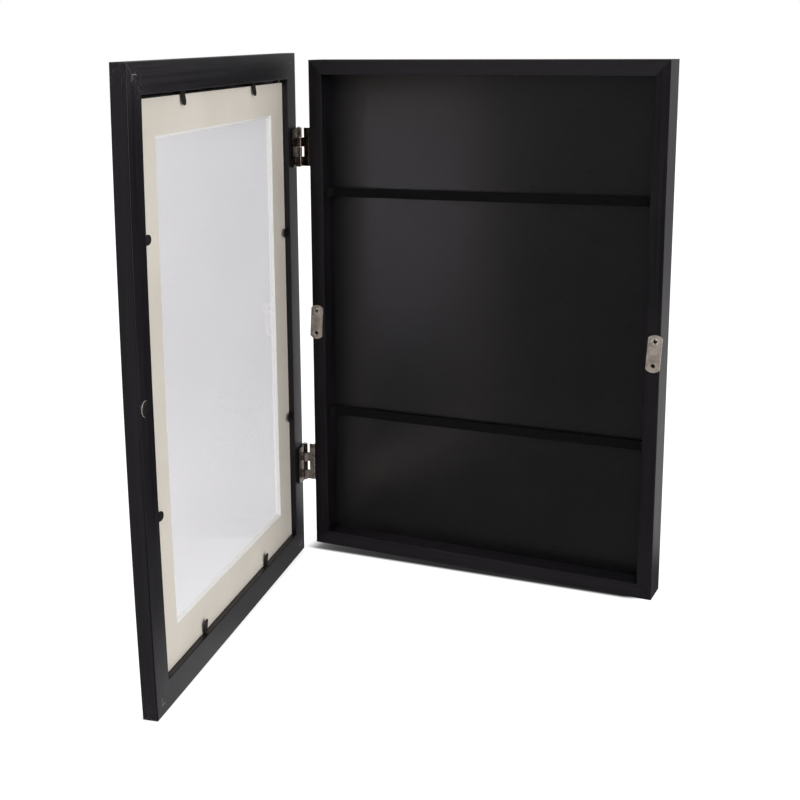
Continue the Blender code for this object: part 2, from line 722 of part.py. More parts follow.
def build_staple(shop, name, left_side, height, stile):
    """A wire staple astride a band's turned end, its legs in the side wall."""
    wall = BOX_RAIL
    seat = wall + 2 * FIT_GAP + BAND_THICKNESS
    y = PANEL_FRONT - BAND_STANDOFF - BAND_THICKNESS - BAND_FLAP / 2
    half = STAPLE_CROWN / 2
    inside = half - STAPLE_WIRE
    tip = wall - STAPLE_LEG
    outline = [(tip, -half), (seat + STAPLE_WIRE, -half), (seat + STAPLE_WIRE, half), (tip, half),
               (tip, inside), (seat, inside), (seat, -inside), (tip, -inside)]
    if not left_side:
        outline = [(BOX_WIDTH - x, z) for x, z in outline]
    mesh = outline_mesh([outline], STAPLE_WIRE)
    upright = Matrix.Rotation(math.pi / 2, 4, "X")
    mesh.transform(Matrix.Translation((0, y, height)) @ upright)
    shop.piece(name, mesh, shop.steel, shop.box)
    reach = STAPLE_WIRE / 2 + FIT_GAP
    for end in (1, -1):
        middle = height + end * (half - STAPLE_WIRE / 2)
        ends = [tip - FIT_GAP, wall + CUT_OVERRUN]
        if not left_side:
            ends = [BOX_WIDTH - ends[1], BOX_WIDTH - ends[0]]
        mesh = block_mesh((ends[0], y - reach, middle - reach), (ends[1], y + reach, middle + reach))
        hole = shop.cutter(f"{name}_hole_{'upper' if end > 0 else 'lower'}", mesh, shop.box)
        cut(stile, hole)


def build_bands(shop, rails):
    bands = {"upper": (BOX_HEIGHT - UPPER_BAND_FROM_TOP, UPPER_BAND_RISE),
             "lower": (LOWER_BAND_FROM_BOTTOM, LOWER_BAND_RISE)}
    for level, (height, rise) in bands.items():
        build_band(shop, level + "_band", height, rise)
        build_staple(shop, level + "_band_left_staple", True, height - rise / 2, rails["left"])
        build_staple(shop, level + "_band_right_staple", False, height + rise / 2, rails["right"])


def build_hanger(shop, name, matrix, panel):
    """A sawtooth hanger: flat feet, a raised toothed middle, and a nail through each foot.

    Its own +X runs along it, +Y off the panel and +Z to its plain edge.
    """
    half = HANGER_LENGTH / 2
    foot = half - HANGER_FOOT
    flat = foot - HANGER_RAMP
    low = FIT_GAP
    high = low + HANGER_RISE
    lower = [(-half, low), (-foot, low), (-flat, high), (flat, high), (foot, low), (half, low)]
    upper = [(x, y + HANGER_THICKNESS) for x, y in reversed(lower)]
    mesh = outline_mesh([lower + upper], HANGER_HEIGHT)
    hanger = shop.piece(name, mesh, shop.nickel, shop.box)
    hanger.matrix_local = matrix
    edge = -HANGER_HEIGHT / 2
    notch = [(-TOOTH_PITCH / 2, edge - TOOTH_DEPTH), (TOOTH_PITCH / 2, edge - TOOTH_DEPTH),
             (0, edge + TOOTH_DEPTH)]
    teeth = outline_mesh([notch], 2 * (HANGER_RISE + HANGER_THICKNESS + CUT_OVERRUN))
    teeth.transform(Matrix.Rotation(math.pi / 2, 4, "X"))
    start = -TOOTH_PITCH * (TOOTH_COUNT - 1) / 2
    row = shop.cutter(name + "_teeth", teeth, shop.box, matrix @ Matrix.Translation((start, 0, 0)))
    repeat = row.modifiers.new("Row", "ARRAY")
    repeat.use_relative_offset = False
    repeat.use_constant_offset = True
    repeat.constant_offset_displace = (TOOTH_PITCH + FIT_GAP / 10, 0, 0)
    repeat.count = TOOTH_COUNT
    cut(hanger, row)
    for end, label in ((-1, "a"), (1, "b")):
        place_x = end * (half - HANGER_FOOT / 2)
        seat = matrix @ facing((place_x, low + HANGER_THICKNESS, 0), (0, 1, 0))
        add_nail(shop, f"{name}_nail_{label}", seat, hanger, panel)


def add_nail(shop, name, seat, hanger, panel):
    """A round-headed nail through a hanger's foot into the back panel."""
    crown = NAIL_HEAD_RADIUS / 2
    under = FIT_GAP
    deep = -HANGER_THICKNESS - FIT_GAP - NAIL_LENGTH
    profile = [(0, under + NAIL_HEAD), (crown, under + NAIL_HEAD),
               (NAIL_HEAD_RADIUS, under + NAIL_HEAD / 2), (NAIL_HEAD_RADIUS, under),
               (NAIL_RADIUS, under), (NAIL_RADIUS, deep), (0, deep)]
    if shop.nail_mesh is None:
        shop.nail_mesh = turned_mesh(profile)
    nail = shop.piece(name, shop.nail_mesh, shop.nickel, shop.box)
    nail.matrix_local = seat
    turn(nail)
    bottom = deep - FIT_GAP
    height = CUT_OVERRUN - bottom
    hole = shop.cutter(name + "_hole", rod_mesh(NAIL_RADIUS + FIT_GAP, height), shop.box,
                       seat @ Matrix.Translation((0, 0, bottom + height / 2)))
    cut(hanger, hole)
    cut(panel, hole)


def build_hangers(shop, panel):
    """One hanger for hanging upright, and one on the hinge side for hanging on its side."""
    edge = BOX_RAIL - BOX_REBATE + HANGER_MARGIN
    top = Matrix.Translation((BOX_WIDTH / 2, PANEL_BACK, BOX_HEIGHT - edge))
    build_hanger(shop, "upright_hanger", top, panel)
    side = Matrix.Translation((edge, PANEL_BACK, BOX_HEIGHT / 2))
    build_hanger(shop, "sideways_hanger", side @ Matrix.Rotation(-math.pi / 2, 4, "Y"), panel)


def build_tabs(shop):
    """Bendable tabs at the rebate's walls. Each turns about its root, off the mat."""
    depth = MAT_BACK + TAB_LIFT + TAB_THICKNESS / 2
    root = 2 * FIT_GAP
    low_z = -DOOR_OVERHANG
    high_z = DOOR_HEIGHT - DOOR_OVERHANG
    high_x = DOOR_EDGE + DOOR_WIDTH
    inset = DOOR_RAIL + root
    seats = {
        "top": (DOOR_WIDTH, lambda a: (DOOR_EDGE + a, depth, high_z - inset), (0, 0, -1)),
        "bottom": (DOOR_WIDTH, lambda a: (DOOR_EDGE + a, depth, low_z + inset), (0, 0, 1)),
        "hinge_side": (DOOR_HEIGHT, lambda a: (DOOR_EDGE + inset, depth, low_z + a), (1, 0, 0)),
        "free_side": (DOOR_HEIGHT, lambda a: (high_x - inset, depth, low_z + a), (-1, 0, 0)),
    }
    half = TAB_WIDTH / 2
    shoulder = TAB_LENGTH - root - half
    outline = [(-half, -FIT_GAP)]
    for step in range(ROUND_STEPS + 1):
        angle = math.pi - math.pi * step / ROUND_STEPS
        outline.append((half * math.cos(angle), shoulder + half * math.sin(angle)))
    outline.append((half, -FIT_GAP))
    for side, (length, seat, out) in seats.items():
        for index, share in enumerate(TAB_PLACE_SHARES[side]):
            name = f"{side}_tab_{index + 1}"
            matrix = facing(seat(length * share), (0, 1, 0), out)
            pivot = add_empty(name + "_pivot", shop.parts, (0, 0, 0), 0.0, shop.door)
            pivot.matrix_local = matrix @ Matrix.Rotation(TAB_SPLAY, 4, "X")
            shop.piece(name, outline_mesh([outline], TAB_THICKNESS), shop.tab, pivot)


def smooth_round_pieces(shop):
    """Shade turned and rolled pieces smooth, with their hard edges kept."""
    for item in shop.parts.objects:
        if item.type == "MESH" and any(m.type == "SCREW" for m in item.modifiers):
            item.data.shade_smooth()


def main():
    clear_scene()
    shop = Workshop()
    box_rails = build_box_rails(shop)
    door_rails = build_door_rails(shop)
    panel = build_back_panel(shop)
    build_panel_points(shop, box_rails)
    build_hangers(shop, panel)
    build_hinges(shop, box_rails, door_rails)
    build_strike_plates(shop, box_rails)
    build_magnet(shop, door_rails)
    build_glazing(shop)
    build_mat(shop)
    build_v_nails(shop, door_rails)
    build_bands(shop, box_rails)
    build_tabs(shop)
    smooth_round_pieces(shop)
    bpy.context.view_layer.update()


main()
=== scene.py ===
import math

import bmesh
import bpy
from mathutils import Matrix, Vector, noise


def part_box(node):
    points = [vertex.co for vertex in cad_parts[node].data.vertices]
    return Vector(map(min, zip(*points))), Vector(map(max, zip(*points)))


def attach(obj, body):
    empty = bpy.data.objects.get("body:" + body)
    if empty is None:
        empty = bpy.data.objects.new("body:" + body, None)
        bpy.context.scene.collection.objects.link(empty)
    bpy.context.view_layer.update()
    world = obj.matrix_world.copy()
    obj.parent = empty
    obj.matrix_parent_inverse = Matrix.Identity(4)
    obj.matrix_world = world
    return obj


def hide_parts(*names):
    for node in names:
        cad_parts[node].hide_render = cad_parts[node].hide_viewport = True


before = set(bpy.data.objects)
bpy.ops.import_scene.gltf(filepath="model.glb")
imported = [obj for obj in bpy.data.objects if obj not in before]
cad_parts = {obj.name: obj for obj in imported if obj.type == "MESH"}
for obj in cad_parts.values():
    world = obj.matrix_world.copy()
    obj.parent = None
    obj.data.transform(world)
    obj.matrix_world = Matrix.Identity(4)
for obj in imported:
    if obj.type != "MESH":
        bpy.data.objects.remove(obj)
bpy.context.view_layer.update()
print("frame loaded")

# Lengths are in millimetres, in node trees and in the studio in metres. The box is measured from
# its front, bottom, left corner: x to the right, y to the back, z up. The door is measured from
# its hinge pin, as if it were shut: x along the door, y to its back, z up.
millimetre = 0.001
clearance = 0.3                              # between pieces that touch
doorOpen = 80
boxSpot = Matrix.Scale(millimetre, 4) @ Matrix.Translation((-131.75, -11.5, 0))
doorSpot = (Matrix.Scale(millimetre, 4) @ Matrix.Translation((-139.85, -12.45, 0))
            @ Matrix.Rotation(math.radians(-doorOpen), 4, "Z"))
doorOut = doorSpot.to_3x3().normalized() @ Vector((0, 1, 0))    # out of the door's back

boxSize = {"width": 263.5, "height": 370, "depth": 23, "rail": 10.5, "inside": 16, "rebate": 4,
           "panel": 2.5}
doorSize = {"edge": 3.1, "low": -5, "width": 273.5, "height": 380, "back": -0.95, "thick": 10,
            "rail": 18, "lip": 4.5, "lipThick": 3, "film": 1.2}
doorLeft, doorRight = doorSize["edge"], doorSize["edge"] + doorSize["width"]
doorLow, doorHigh = doorSize["low"], doorSize["low"] + doorSize["height"]
doorFront = doorSize["back"] - doorSize["thick"]
lipBack = doorFront + doorSize["lipThick"]   # the shoulder that the film lies on


# Nodes

def overloaded(operation, swapped=False):
    return lambda wire, other: wire.maths(operation, other, swapped)


class Wire:                                  # one output socket that can stand in a sum
    __add__ = __radd__ = overloaded("ADD")
    __mul__ = __rmul__ = overloaded("MULTIPLY")
    __sub__, __rsub__ = overloaded("SUBTRACT"), overloaded("SUBTRACT", True)
    __truediv__, __rtruediv__ = overloaded("DIVIDE"), overloaded("DIVIDE", True)
    __pow__ = overloaded("POWER")

    def __init__(self, tree, socket):
        self.tree = tree
        self.socket = socket

    def maths(self, operation, other=0.0, swapped=False):
        first, second = (other, self) if swapped else (self, other)
        return addNode(self.tree, "ShaderNodeMath", {0: first, 1: second}, operation=operation)

    def sibling(self, output):               # another output of the same node
        return Wire(self.tree, findSocket(self.socket.node.outputs, output))

    def split(self):                         # X, Y and Z of a vector
        x = addNode(self.tree, "ShaderNodeSeparateXYZ", {0: self})
        return x, x.sibling(1), x.sibling(2)


def findSocket(sockets, key):
    if isinstance(key, int):
        return sockets[key]
    for socket in sockets:
        if socket.identifier == key:
            return socket
    return next(socket for socket in sockets if socket.name == key and socket.enabled)


def addNode(tree, kind, inputs=None, output=0, **settings):
    node = tree.nodes.new(kind)
    for key, value in settings.items():
        setattr(node, key, value)
    for key, value in (inputs or {}).items():
        socket = findSocket(node.inputs, key)
        for item in value if isinstance(value, list) else [value]:
            if isinstance(item, Wire):
                tree.links.new(item.socket, socket)
            else:
                socket.default_value = item
    return Wire(tree, findSocket(node.outputs, output))


def vectorOf(tree, x, y, z):
    return addNode(tree, "ShaderNodeCombineXYZ", {0: x, 1: y, 2: z})


def opaque(colour):
    return colour if isinstance(colour, Wire) else (*colour, 1.0)


def blend(factor, first, second):
    return addNode(factor.tree, "ShaderNodeMix",
                   {"Factor_Float": factor, "A_Color": opaque(first), "B_Color": opaque(second)},
                   "Result_Color", data_type="RGBA")


def cloud(vector, scale, detail=3.0, roughness=0.55, shift=(0, 0, 0)):
    if isinstance(scale, tuple):             # stretched differently along each axis
        vector = addNode(vector.tree, "ShaderNodeMapping",
                         {"Vector": vector, "Scale": scale, "Location": shift})
        scale = 1.0
    return addNode(vector.tree, "ShaderNodeTexNoise",
                   {"Vector": vector, "Scale": scale, "Detail": detail, "Roughness": roughness})


def step(value, low, high, darkest=0.0, brightest=1.0):
    return addNode(value.tree, "ShaderNodeMapRange",
                   {"Value": value, "From Min": low, "From Max": high, "To Min": darkest,
                    "To Max": brightest}, interpolation_type="SMOOTHSTEP")


def objectSpot(tree):
    return addNode(tree, "ShaderNodeTexCoord", None, "Object")


def closeShader(surface, kind):
    end = surface.tree.nodes.new(kind)
    surface.tree.links.new(surface.socket, end.inputs["Surface"])


def relief(height, depth):
    return addNode(height.tree, "ShaderNodeBump",
                   {"Height": height, "Distance": depth * millimetre, "Strength": 1.0})


def newFinish(name, fixed):
    material = bpy.data.materials.new(name)
    material.use_nodes = True
    shader = material.node_tree.nodes["Principled BSDF"]
    for key, value in fixed.items():
        shader.inputs[key].default_value = value
    return material, material.node_tree, shader


def plug(shader, baseColor, roughness, normal=None):
    for label, wire in (("Base Color", baseColor), ("Roughness", roughness), ("Normal", normal)):
        if wire:
            wire.tree.links.new(wire.socket, shader.inputs[label])


# Finishes

paintLook = {
    "dark": (0.0044, 0.0039, 0.0048),
    "light": (0.0150, 0.0132, 0.0158),
    "pore": (0.0022, 0.0020, 0.0024),
    "dust": (0.075, 0.070, 0.076),
    "bareWood": (0.060, 0.045, 0.036),
    "scuff": (0.130, 0.120, 0.128),
    "paintedLight": (0.0170, 0.0150, 0.0180),        # painted light: lighter paint where more light falls, on the door's outer side and some of the box's rails
    "paintedLightStreaks": (0.0290, 0.0260, 0.0305),
    "mirrored": (1.0, 0.915, 1.0),           # tint of what it mirrors
    "scuffReach": 0.022,                     # how far scuffs spread from the door's mitres, in m
    "roughness": 0.28,
    "grainDepth": 0.030,
}


def makePaint(name):                         # satin paint over wood; the grain runs along U
    material, tree, shader = newFinish(name, {"Specular IOR Level": 0.36,
                                              "Specular Tint": opaque(paintLook["mirrored"])})
    grain = addNode(tree, "ShaderNodeUVMap", uv_map="grain")
    seed, arris, span, tone = (
        addNode(tree, "ShaderNodeAttribute", None, "Fac", attribute_name=label)
        for label in ("seed", "rub", "span", "tone"))
    start, girth, _ = grain.split()
    toEnd = start.maths("MINIMUM", span - start)
    onDoor = step(seed, 3.2, 3.6)            # the box's rails have seeds 0 to 3, the door's 4 to 7
    along = addNode(tree, "ShaderNodeVectorMath",
                    {0: grain, 1: vectorOf(tree, seed * 0.37, seed * 0.61, seed * 0.13)},
                    operation="ADD")
    fibres = cloud(along, (70, 2600, 1), 4.0, 0.6)
    streaks = cloud(along, (7, 520, 1))
    patches = cloud(along, (14, 40, 1), 2.0)
    pores = step(cloud(along, (110, 3400, 1), 2.0, shift=(4, 7, 0)), 0.62, 0.74)
    dust = step(cloud(along, 2300.0, 1.0), 0.76, 0.82)
    worn = arris * step(cloud(along, (90, 700, 1), 4.0), 0.60, 0.74)
    seam = step(toEnd, 0.0003, 0.0014, 1.0, 0.0) * step(cloud(along, 240.0), 0.36, 0.60)
    scuffs = (step(toEnd, 0.002, paintLook["scuffReach"], 1.0, 0.0)
              * step(cloud(along, (420, 1300, 1), 4.0, 0.7), 0.53, 0.66))
    scuffs = (seam * 0.26 + scuffs * 0.34) * onDoor
    # the door's outer side, by its place round the section; it is painted lighter, as painted light
    outerPaintedLight = step(girth, 0.0246, 0.0256) * step(girth, 0.0342, 0.0352, 1.0, 0.0) * onDoor
    body = blend(step(streaks * 0.55 + patches * 0.45, 0.34, 0.66),
                 paintLook["dark"], paintLook["light"])
    # painted light: the door's outer side and the rails given a share in railLook are painted
    # lighter, as if more light fell on them
    body = blend(outerPaintedLight * 0.9 + tone, body, blend(streaks, paintLook["paintedLight"], paintLook["paintedLightStreaks"]))
    for share, label in ((pores * 0.7, "pore"), (dust * 0.3, "dust"), (worn * 0.35, "bareWood"),
                         (scuffs, "scuff")):
        body = blend(share, body, paintLook[label])
    plug(shader, body, paintLook["roughness"] + (fibres + streaks) * 0.12 + scuffs * 0.2,
         relief((fibres + streaks) * 0.6 - pores * 0.5, paintLook["grainDepth"]))
    return material


boardLook = {
    "dark": (0.0052, 0.0047, 0.0055),
    "light": (0.0084, 0.0076, 0.0088),
    "speck": (0.07, 0.065, 0.07),
    "mirrored": (1.0, 0.96, 1.0),
    "roughness": 0.24,
    "margin": 1.9,                           # times as rough along the left side
}


def makeBoard(name):                         # black laminated hardboard, faintly mottled
    material, tree, shader = newFinish(name, {"Specular IOR Level": 0.75,
                                              "Specular Tint": opaque(boardLook["mirrored"])})
    spot = objectSpot(tree)
    mottle = cloud(spot, 260.0, 4.0, 0.6)
    body = blend(step((mottle + cloud(spot, 22.0)) * 0.5, 0.36, 0.64),
                 boardLook["dark"], boardLook["light"])
    body = blend(step(cloud(spot, 1500.0, 1.0), 0.72, 0.80) * 0.30, body, boardLook["speck"])
    margin = step(spot.split()[0], -0.118, -0.085, boardLook["margin"], 1.0)
    plug(shader, body, (boardLook["roughness"] + mottle * 0.12) * margin,
         relief(mottle * 0.6 + cloud(spot, 1300.0, 2.0) * 0.4, 0.03))
    return material


cardLook = {
    "face": (0.700, 0.650, 0.580),
    "shade": (0.640, 0.590, 0.520),
    "fleck": (0.50, 0.45, 0.38),
    "core": (0.930, 0.920, 0.895),
    "coreShade": (0.87, 0.855, 0.82),
    "fibreDepth": 0.02,
}


def makeCard(name, core=False):              # uncoated card, and its whiter cut core
    material, tree, shader = newFinish(name, {"Specular IOR Level": 0.25})
    spot = objectSpot(tree)
    fibres = cloud(spot, 1700.0, 5.0, 0.65)
    if core:
        body = blend(step(cloud(spot, (500, 500, 500)), 0.35, 0.7),
                     cardLook["core"], cardLook["coreShade"])
    else:
        body = blend(step(cloud(spot, 14.0) * 0.6 + fibres * 0.4, 0.36, 0.64),
                     cardLook["face"], cardLook["shade"])
        body = blend(step(cloud(spot, 900.0, 2.0), 0.70, 0.78) * 0.18, body, cardLook["fleck"])
    plug(shader, body, 0.82 + fibres * 0.12, relief(fibres, cardLook["fibreDepth"]))
    return material


filmLook = {
    "tint": (0.730, 0.718, 0.738),
    "shade": (0.712, 0.700, 0.720),
    "scuff": (0.95, 0.95, 0.97),
    "roughness": 0.10,
}


def makeFilm(name):                          # clear sheet under a faintly tinted, glossy film
    material, tree, shader = newFinish(name, {"Specular IOR Level": 0.5, "IOR": 1.49,
                                              "Transmission Weight": 1.0})
    spot = objectSpot(tree)
    scuffs = step(cloud(spot, (1200, 1200, 60), 2.0), 0.72, 0.84) * 0.05
    body = blend(step(cloud(spot, 7.0), 0.35, 0.65), filmLook["tint"], filmLook["shade"])
    plug(shader, blend(scuffs, body, filmLook["scuff"]), filmLook["roughness"] + scuffs)
    return material


# light stains, dark stains, roughness, metallic, scratches, specular level
metalLooks = {
    # painted light and shade: the hinges are of one metal; the darker and the paler copy stand in
    # for the shade and the light on them
    "paintedShadeHinge": ((0.22, 0.17, 0.14), (0.055, 0.040, 0.031), 0.12, 1.0, 0.5, 0.5),
    "paintedLightHinge": ((0.42, 0.355, 0.315), (0.20, 0.155, 0.13), 0.20, 0.45, 0.6, 0.5),
    "satinNickel": ((0.72, 0.63, 0.55), (0.47, 0.40, 0.345), 0.22, 0.5, 0.8, 0.5),
    # painted shade: for the magnet's outward face, dark for the dark box that it mirrors
    "paintedShadeNickel": ((0.050, 0.045, 0.042), (0.022, 0.020, 0.019), 0.20, 0.6, 0.6, 0.5),
    "brightScrew": ((0.95, 0.91, 0.84), (0.78, 0.73, 0.66), 0.20, 0.5, 0.4, 0.5),
    "chippedNail": ((0.26, 0.245, 0.25), (0.018, 0.016, 0.018), 0.38, 0.2, 0.8, 0.5),
    "screwSteel": ((0.72, 0.68, 0.62), (0.42, 0.38, 0.33), 0.25, 1.0, 0.4, 0.5),
    "tabSteel": ((0.014, 0.010, 0.0075), (0.003, 0.0025, 0.002), 0.46, 0.0, 0.2, 0.22),
    "stapleWire": ((0.46, 0.45, 0.43), (0.30, 0.29, 0.28), 0.32, 1.0, 0.4, 0.5),
    "zinc": ((0.70, 0.69, 0.66), (0.48, 0.47, 0.46), 0.32, 1.0, 0.7, 0.5),
    "blackPoint": ((0.045, 0.043, 0.042), (0.018, 0.017, 0.017), 0.42, 0.4, 0.4, 0.5),
}


def makeMetal(name):                         # stains, fine scratches and uneven polish
    light, dark, roughness, metallic, scratch, specular = metalLooks[name]
    material, tree, shader = newFinish(name, {"Specular IOR Level": specular,
                                              "Metallic": metallic})
    spot = objectSpot(tree)
    stains = cloud(spot, 190.0, 4.0, 0.6)
    scratches = step(cloud(spot, (600, 600, 7500)), 0.52, 0.70)
    crossing = step(cloud(spot, (5200, 5200, 500), 2.0), 0.60, 0.72)
    pits = step(cloud(spot, 2600.0, 1.0), 0.70, 0.78)
    body = blend(step(stains, 0.34, 0.62), dark, light)
    body = blend((scratches + crossing) * 0.12 * scratch, body, (0.9, 0.88, 0.85))
    plug(shader, body, roughness + stains * 0.16 + scratches * 0.10 * scratch,
         relief(stains * 0.5 + (scratches + crossing) * 0.3 - pits, 0.012))
    return material


elasticLook = {"thread": (0.0055, 0.0055, 0.0060), "gap": (0.0020, 0.0020, 0.0022), "pick": 0.9}


def makeElastic(name):                       # the cross threads; the cords are in the mesh
    material, tree, shader = newFinish(name, {"Specular IOR Level": 0.2, "Sheen Weight": 0.04})
    spot = objectSpot(tree)
    x, y, _ = spot.split()                   # X runs along the strap, Y along its turned ends
    wave = ((x + y) * (2 * math.pi / (elasticLook["pick"] * millimetre))).maths("SINE")
    fuzz = cloud(spot, 2600.0)
    thread = step(wave * 0.5 + fuzz, 0.15, 0.85)
    plug(shader, blend(thread, elasticLook["gap"], elasticLook["thread"]), 0.72 + fuzz * 0.2,
         relief(thread, 0.10))
    return material


paint = makePaint("satinBlackPaint")
board = makeBoard("blackHardboard")
card = makeCard("creamCard")
cardCore = makeCard("cardCore", True)
film = makeFilm("paleFilm")
elastic = makeElastic("blackElastic")
metals = {name: makeMetal(name) for name in metalLooks}
print("finishes made")


# Pieces

def newObject(name, data):
    made = bpy.data.objects.new(name, data)
    bpy.context.scene.collection.objects.link(made)
    return made


doorWarp = {                                 # the door isn't quite flat and square
    "lean": 0.0052,                          # how far it hangs low, per millimetre from the hinge
    "bow": -1.7,                             # out of its back at half height of the free edge
    "twist": 1.3,                            # and at the free edge's low end
    "slots": ("door_wood", "glazing", "mat", "magnet", "v_nails", "tabs"),    # what follows it
}


def warpWithDoor(mesh):
    inDoor = doorSpot.inverted()
    for vertex in mesh.vertices:
        place = inDoor @ vertex.co
        along = max(place.x - doorLeft, 0)
        up = (place.z - doorLow) / doorSize["height"]
        out = doorWarp["bow"] * 4 * up * (1 - up) + doorWarp["twist"] * (1 - up) ** 3
        vertex.co += doorOut * out * along / doorSize["width"] * millimetre
        vertex.co.z -= along * doorWarp["lean"] * millimetre


def addPiece(name, mesh, finishes, body, slotName, sharpAngle=32, stands=None):
    # without `stands` it replaces the CAD node called `name`, which keeps that name
    if slotName in doorWarp["slots"]:
        warpWithDoor(mesh)
    if mesh.materials:                       # clearing also resets which face has which finish
        mesh.materials.clear()
    for finish in finishes:
        mesh.materials.append(finish)
    mesh.set_sharp_from_angle(angle=math.radians(sharpAngle))
    piece = newObject(name if stands else name + "_finished", mesh)
    mesh.name = piece.name
    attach(piece, body)
    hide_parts(*(stands or [name]))
    return piece


def soften(piece, width, segments=3, angle=30):
    bevel = piece.modifiers.new("Soften", "BEVEL")
    bevel.width = width * millimetre
    bevel.segments = segments
    bevel.limit_method = "ANGLE"
    bevel.angle_limit = math.radians(angle)


def evenShading(piece):
    piece.modifiers.new("Even", "WEIGHTED_NORMAL").keep_sharp = True


def meshFrom(work, mesh=None):
    bmesh.ops.recalc_face_normals(work, faces=work.faces)
    mesh = mesh or bpy.data.meshes.new("piece")
    work.to_mesh(mesh)
    work.free()
    return mesh


def treeSizes(look, finish, *names):         # in metres; counts and switches stay as they are
    sizes = {name: look[name] if isinstance(look[name], int) else look[name] * millimetre
             for name in names or look}
    return {**sizes, "finish": finish}


def newTree(name, sizes):
    tree = bpy.data.node_groups.new(name, "GeometryNodeTree")
    tree.interface.new_socket("Geometry", in_out="INPUT", socket_type="NodeSocketGeometry")
    kinds = {bool: "NodeSocketBool", int: "NodeSocketInt", float: "NodeSocketFloat"}
    for label, value in sizes.items():
        kind = kinds.get(type(value), "NodeSocketMaterial")
        socket = tree.interface.new_socket(label, in_out="INPUT", socket_type=kind)
        socket.default_value = value
    tree.interface.new_socket("Geometry", in_out="OUTPUT", socket_type="NodeSocketGeometry")
    source = tree.nodes.new("NodeGroupInput")
    return tree, {socket.name: Wire(tree, socket) for socket in source.outputs if socket.name}


def closeTree(geometry, material):
    tree = geometry.tree
    solid = addNode(tree, "GeometryNodeRealizeInstances", {0: geometry})
    solid = addNode(tree, "GeometryNodeSetMaterial", {"Geometry": solid, "Material": material})
    tree.links.new(solid.socket, tree.nodes.new("NodeGroupOutput").inputs[0])
    return tree


def growMesh(tree, start, sizes):            # runs a tree on a start mesh, gives a plain mesh
    holder = newObject("holder", start)
    modifier = holder.modifiers.new("Grow", "NODES")
    modifier.node_group = tree
    for item in tree.interface.items_tree:
        if item.item_type == "SOCKET" and item.in_out == "INPUT" and item.name in sizes:
            modifier[item.identifier] = sizes[item.name]
    graph = bpy.context.evaluated_depsgraph_get()
    grown = holder.evaluated_get(graph)
    mesh = bpy.data.meshes.new_from_object(grown, preserve_all_data_layers=True, depsgraph=graph)
    bpy.data.objects.remove(holder)
    for polygon in mesh.polygons:
        polygon.use_smooth = True
    return mesh


def growPiece(name, tree, start, sizes, *rest):    # the rest is what addPiece takes
    addPiece(name, growMesh(tree, start, sizes), [sizes["finish"]], *rest)


def lineMesh(points, closed=False):
    mesh = bpy.data.meshes.new("line")
    last = len(points) if closed else len(points) - 1
    mesh.from_pydata(points, [(n, (n + 1) % len(points)) for n in range(last)], [])
    return mesh


def pointCloud(spots):                       # spots: (matrix, spin); +Z of the matrix points out
    mesh = bpy.data.meshes.new("spots")
    mesh.from_pydata([tuple(matrix.translation) for matrix, spin in spots], [], [])
    out = mesh.attributes.new("outward", "FLOAT_VECTOR", "POINT")
    side = mesh.attributes.new("sideways", "FLOAT_VECTOR", "POINT")
    for index, (matrix, spin) in enumerate(spots):
        turned = matrix.to_3x3().normalized() @ Matrix.Rotation(spin, 3, "Z")
        out.data[index].vector = turned.col[2]
        side.data[index].vector = turned.col[0]
    return mesh


def spreadOnPoints(points, instance):
    out, side = (addNode(points.tree, "GeometryNodeInputNamedAttribute", {"Name": name},
                         data_type="FLOAT_VECTOR") for name in ("outward", "sideways"))
    turned = addNode(points.tree, "FunctionNodeAxesToRotation",
                     {"Primary Axis": out, "Secondary Axis": side},
                     primary_axis="Z", secondary_axis="X")
    return addNode(points.tree, "GeometryNodeInstanceOnPoints",
                   {"Points": points, "Instance": instance, "Rotation": turned})


def keep(geometry, name, value):             # stores a value on the points
    return addNode(geometry.tree, "GeometryNodeStoreNamedAttribute",
                   {"Geometry": geometry, "Name": name, "Value": value},
                   data_type="FLOAT", domain="POINT")


def moved(geometry, **inputs):
    return addNode(geometry.tree, "GeometryNodeSetPosition", {"Geometry": geometry, **inputs})


def rounded(line, radius, count):            # a curve through a line mesh, its corners rounded
    curve = addNode(line.tree, "GeometryNodeMeshToCurve", {"Mesh": line})
    return addNode(line.tree, "GeometryNodeFilletCurve",
                   {"Curve": curve, "Radius": radius, "Count": count}, mode="POLY")


def sweep(path, section):
    return addNode(path.tree, "GeometryNodeCurveToMesh",
                   {"Curve": path, "Profile Curve": section, "Fill Caps": True})


def cuboid(tree, wide, paintedShadow, tall, centre):
    block = addNode(tree, "GeometryNodeMeshCube", {"Size": vectorOf(tree, wide, paintedShadow, tall)})
    return addNode(tree, "GeometryNodeTransform",
                   {"Geometry": block, "Translation": vectorOf(tree, *centre)})


# painted light: the shares listed per rail at the end make those rails' paint lighter, where more
# light falls on them
railLook = {"edgeRound": 0.5, "roundSteps": 5, "slices": 44, "mitreGap": 0.02, "wave": 0.03,
            "wavesPerMetre": 30.0, "sharpAngle": 60,
            "paintedLightShares": {"box_top_rail": 0.95, "box_bottom_rail": 0.5, "box_right_stile": 0.12}}


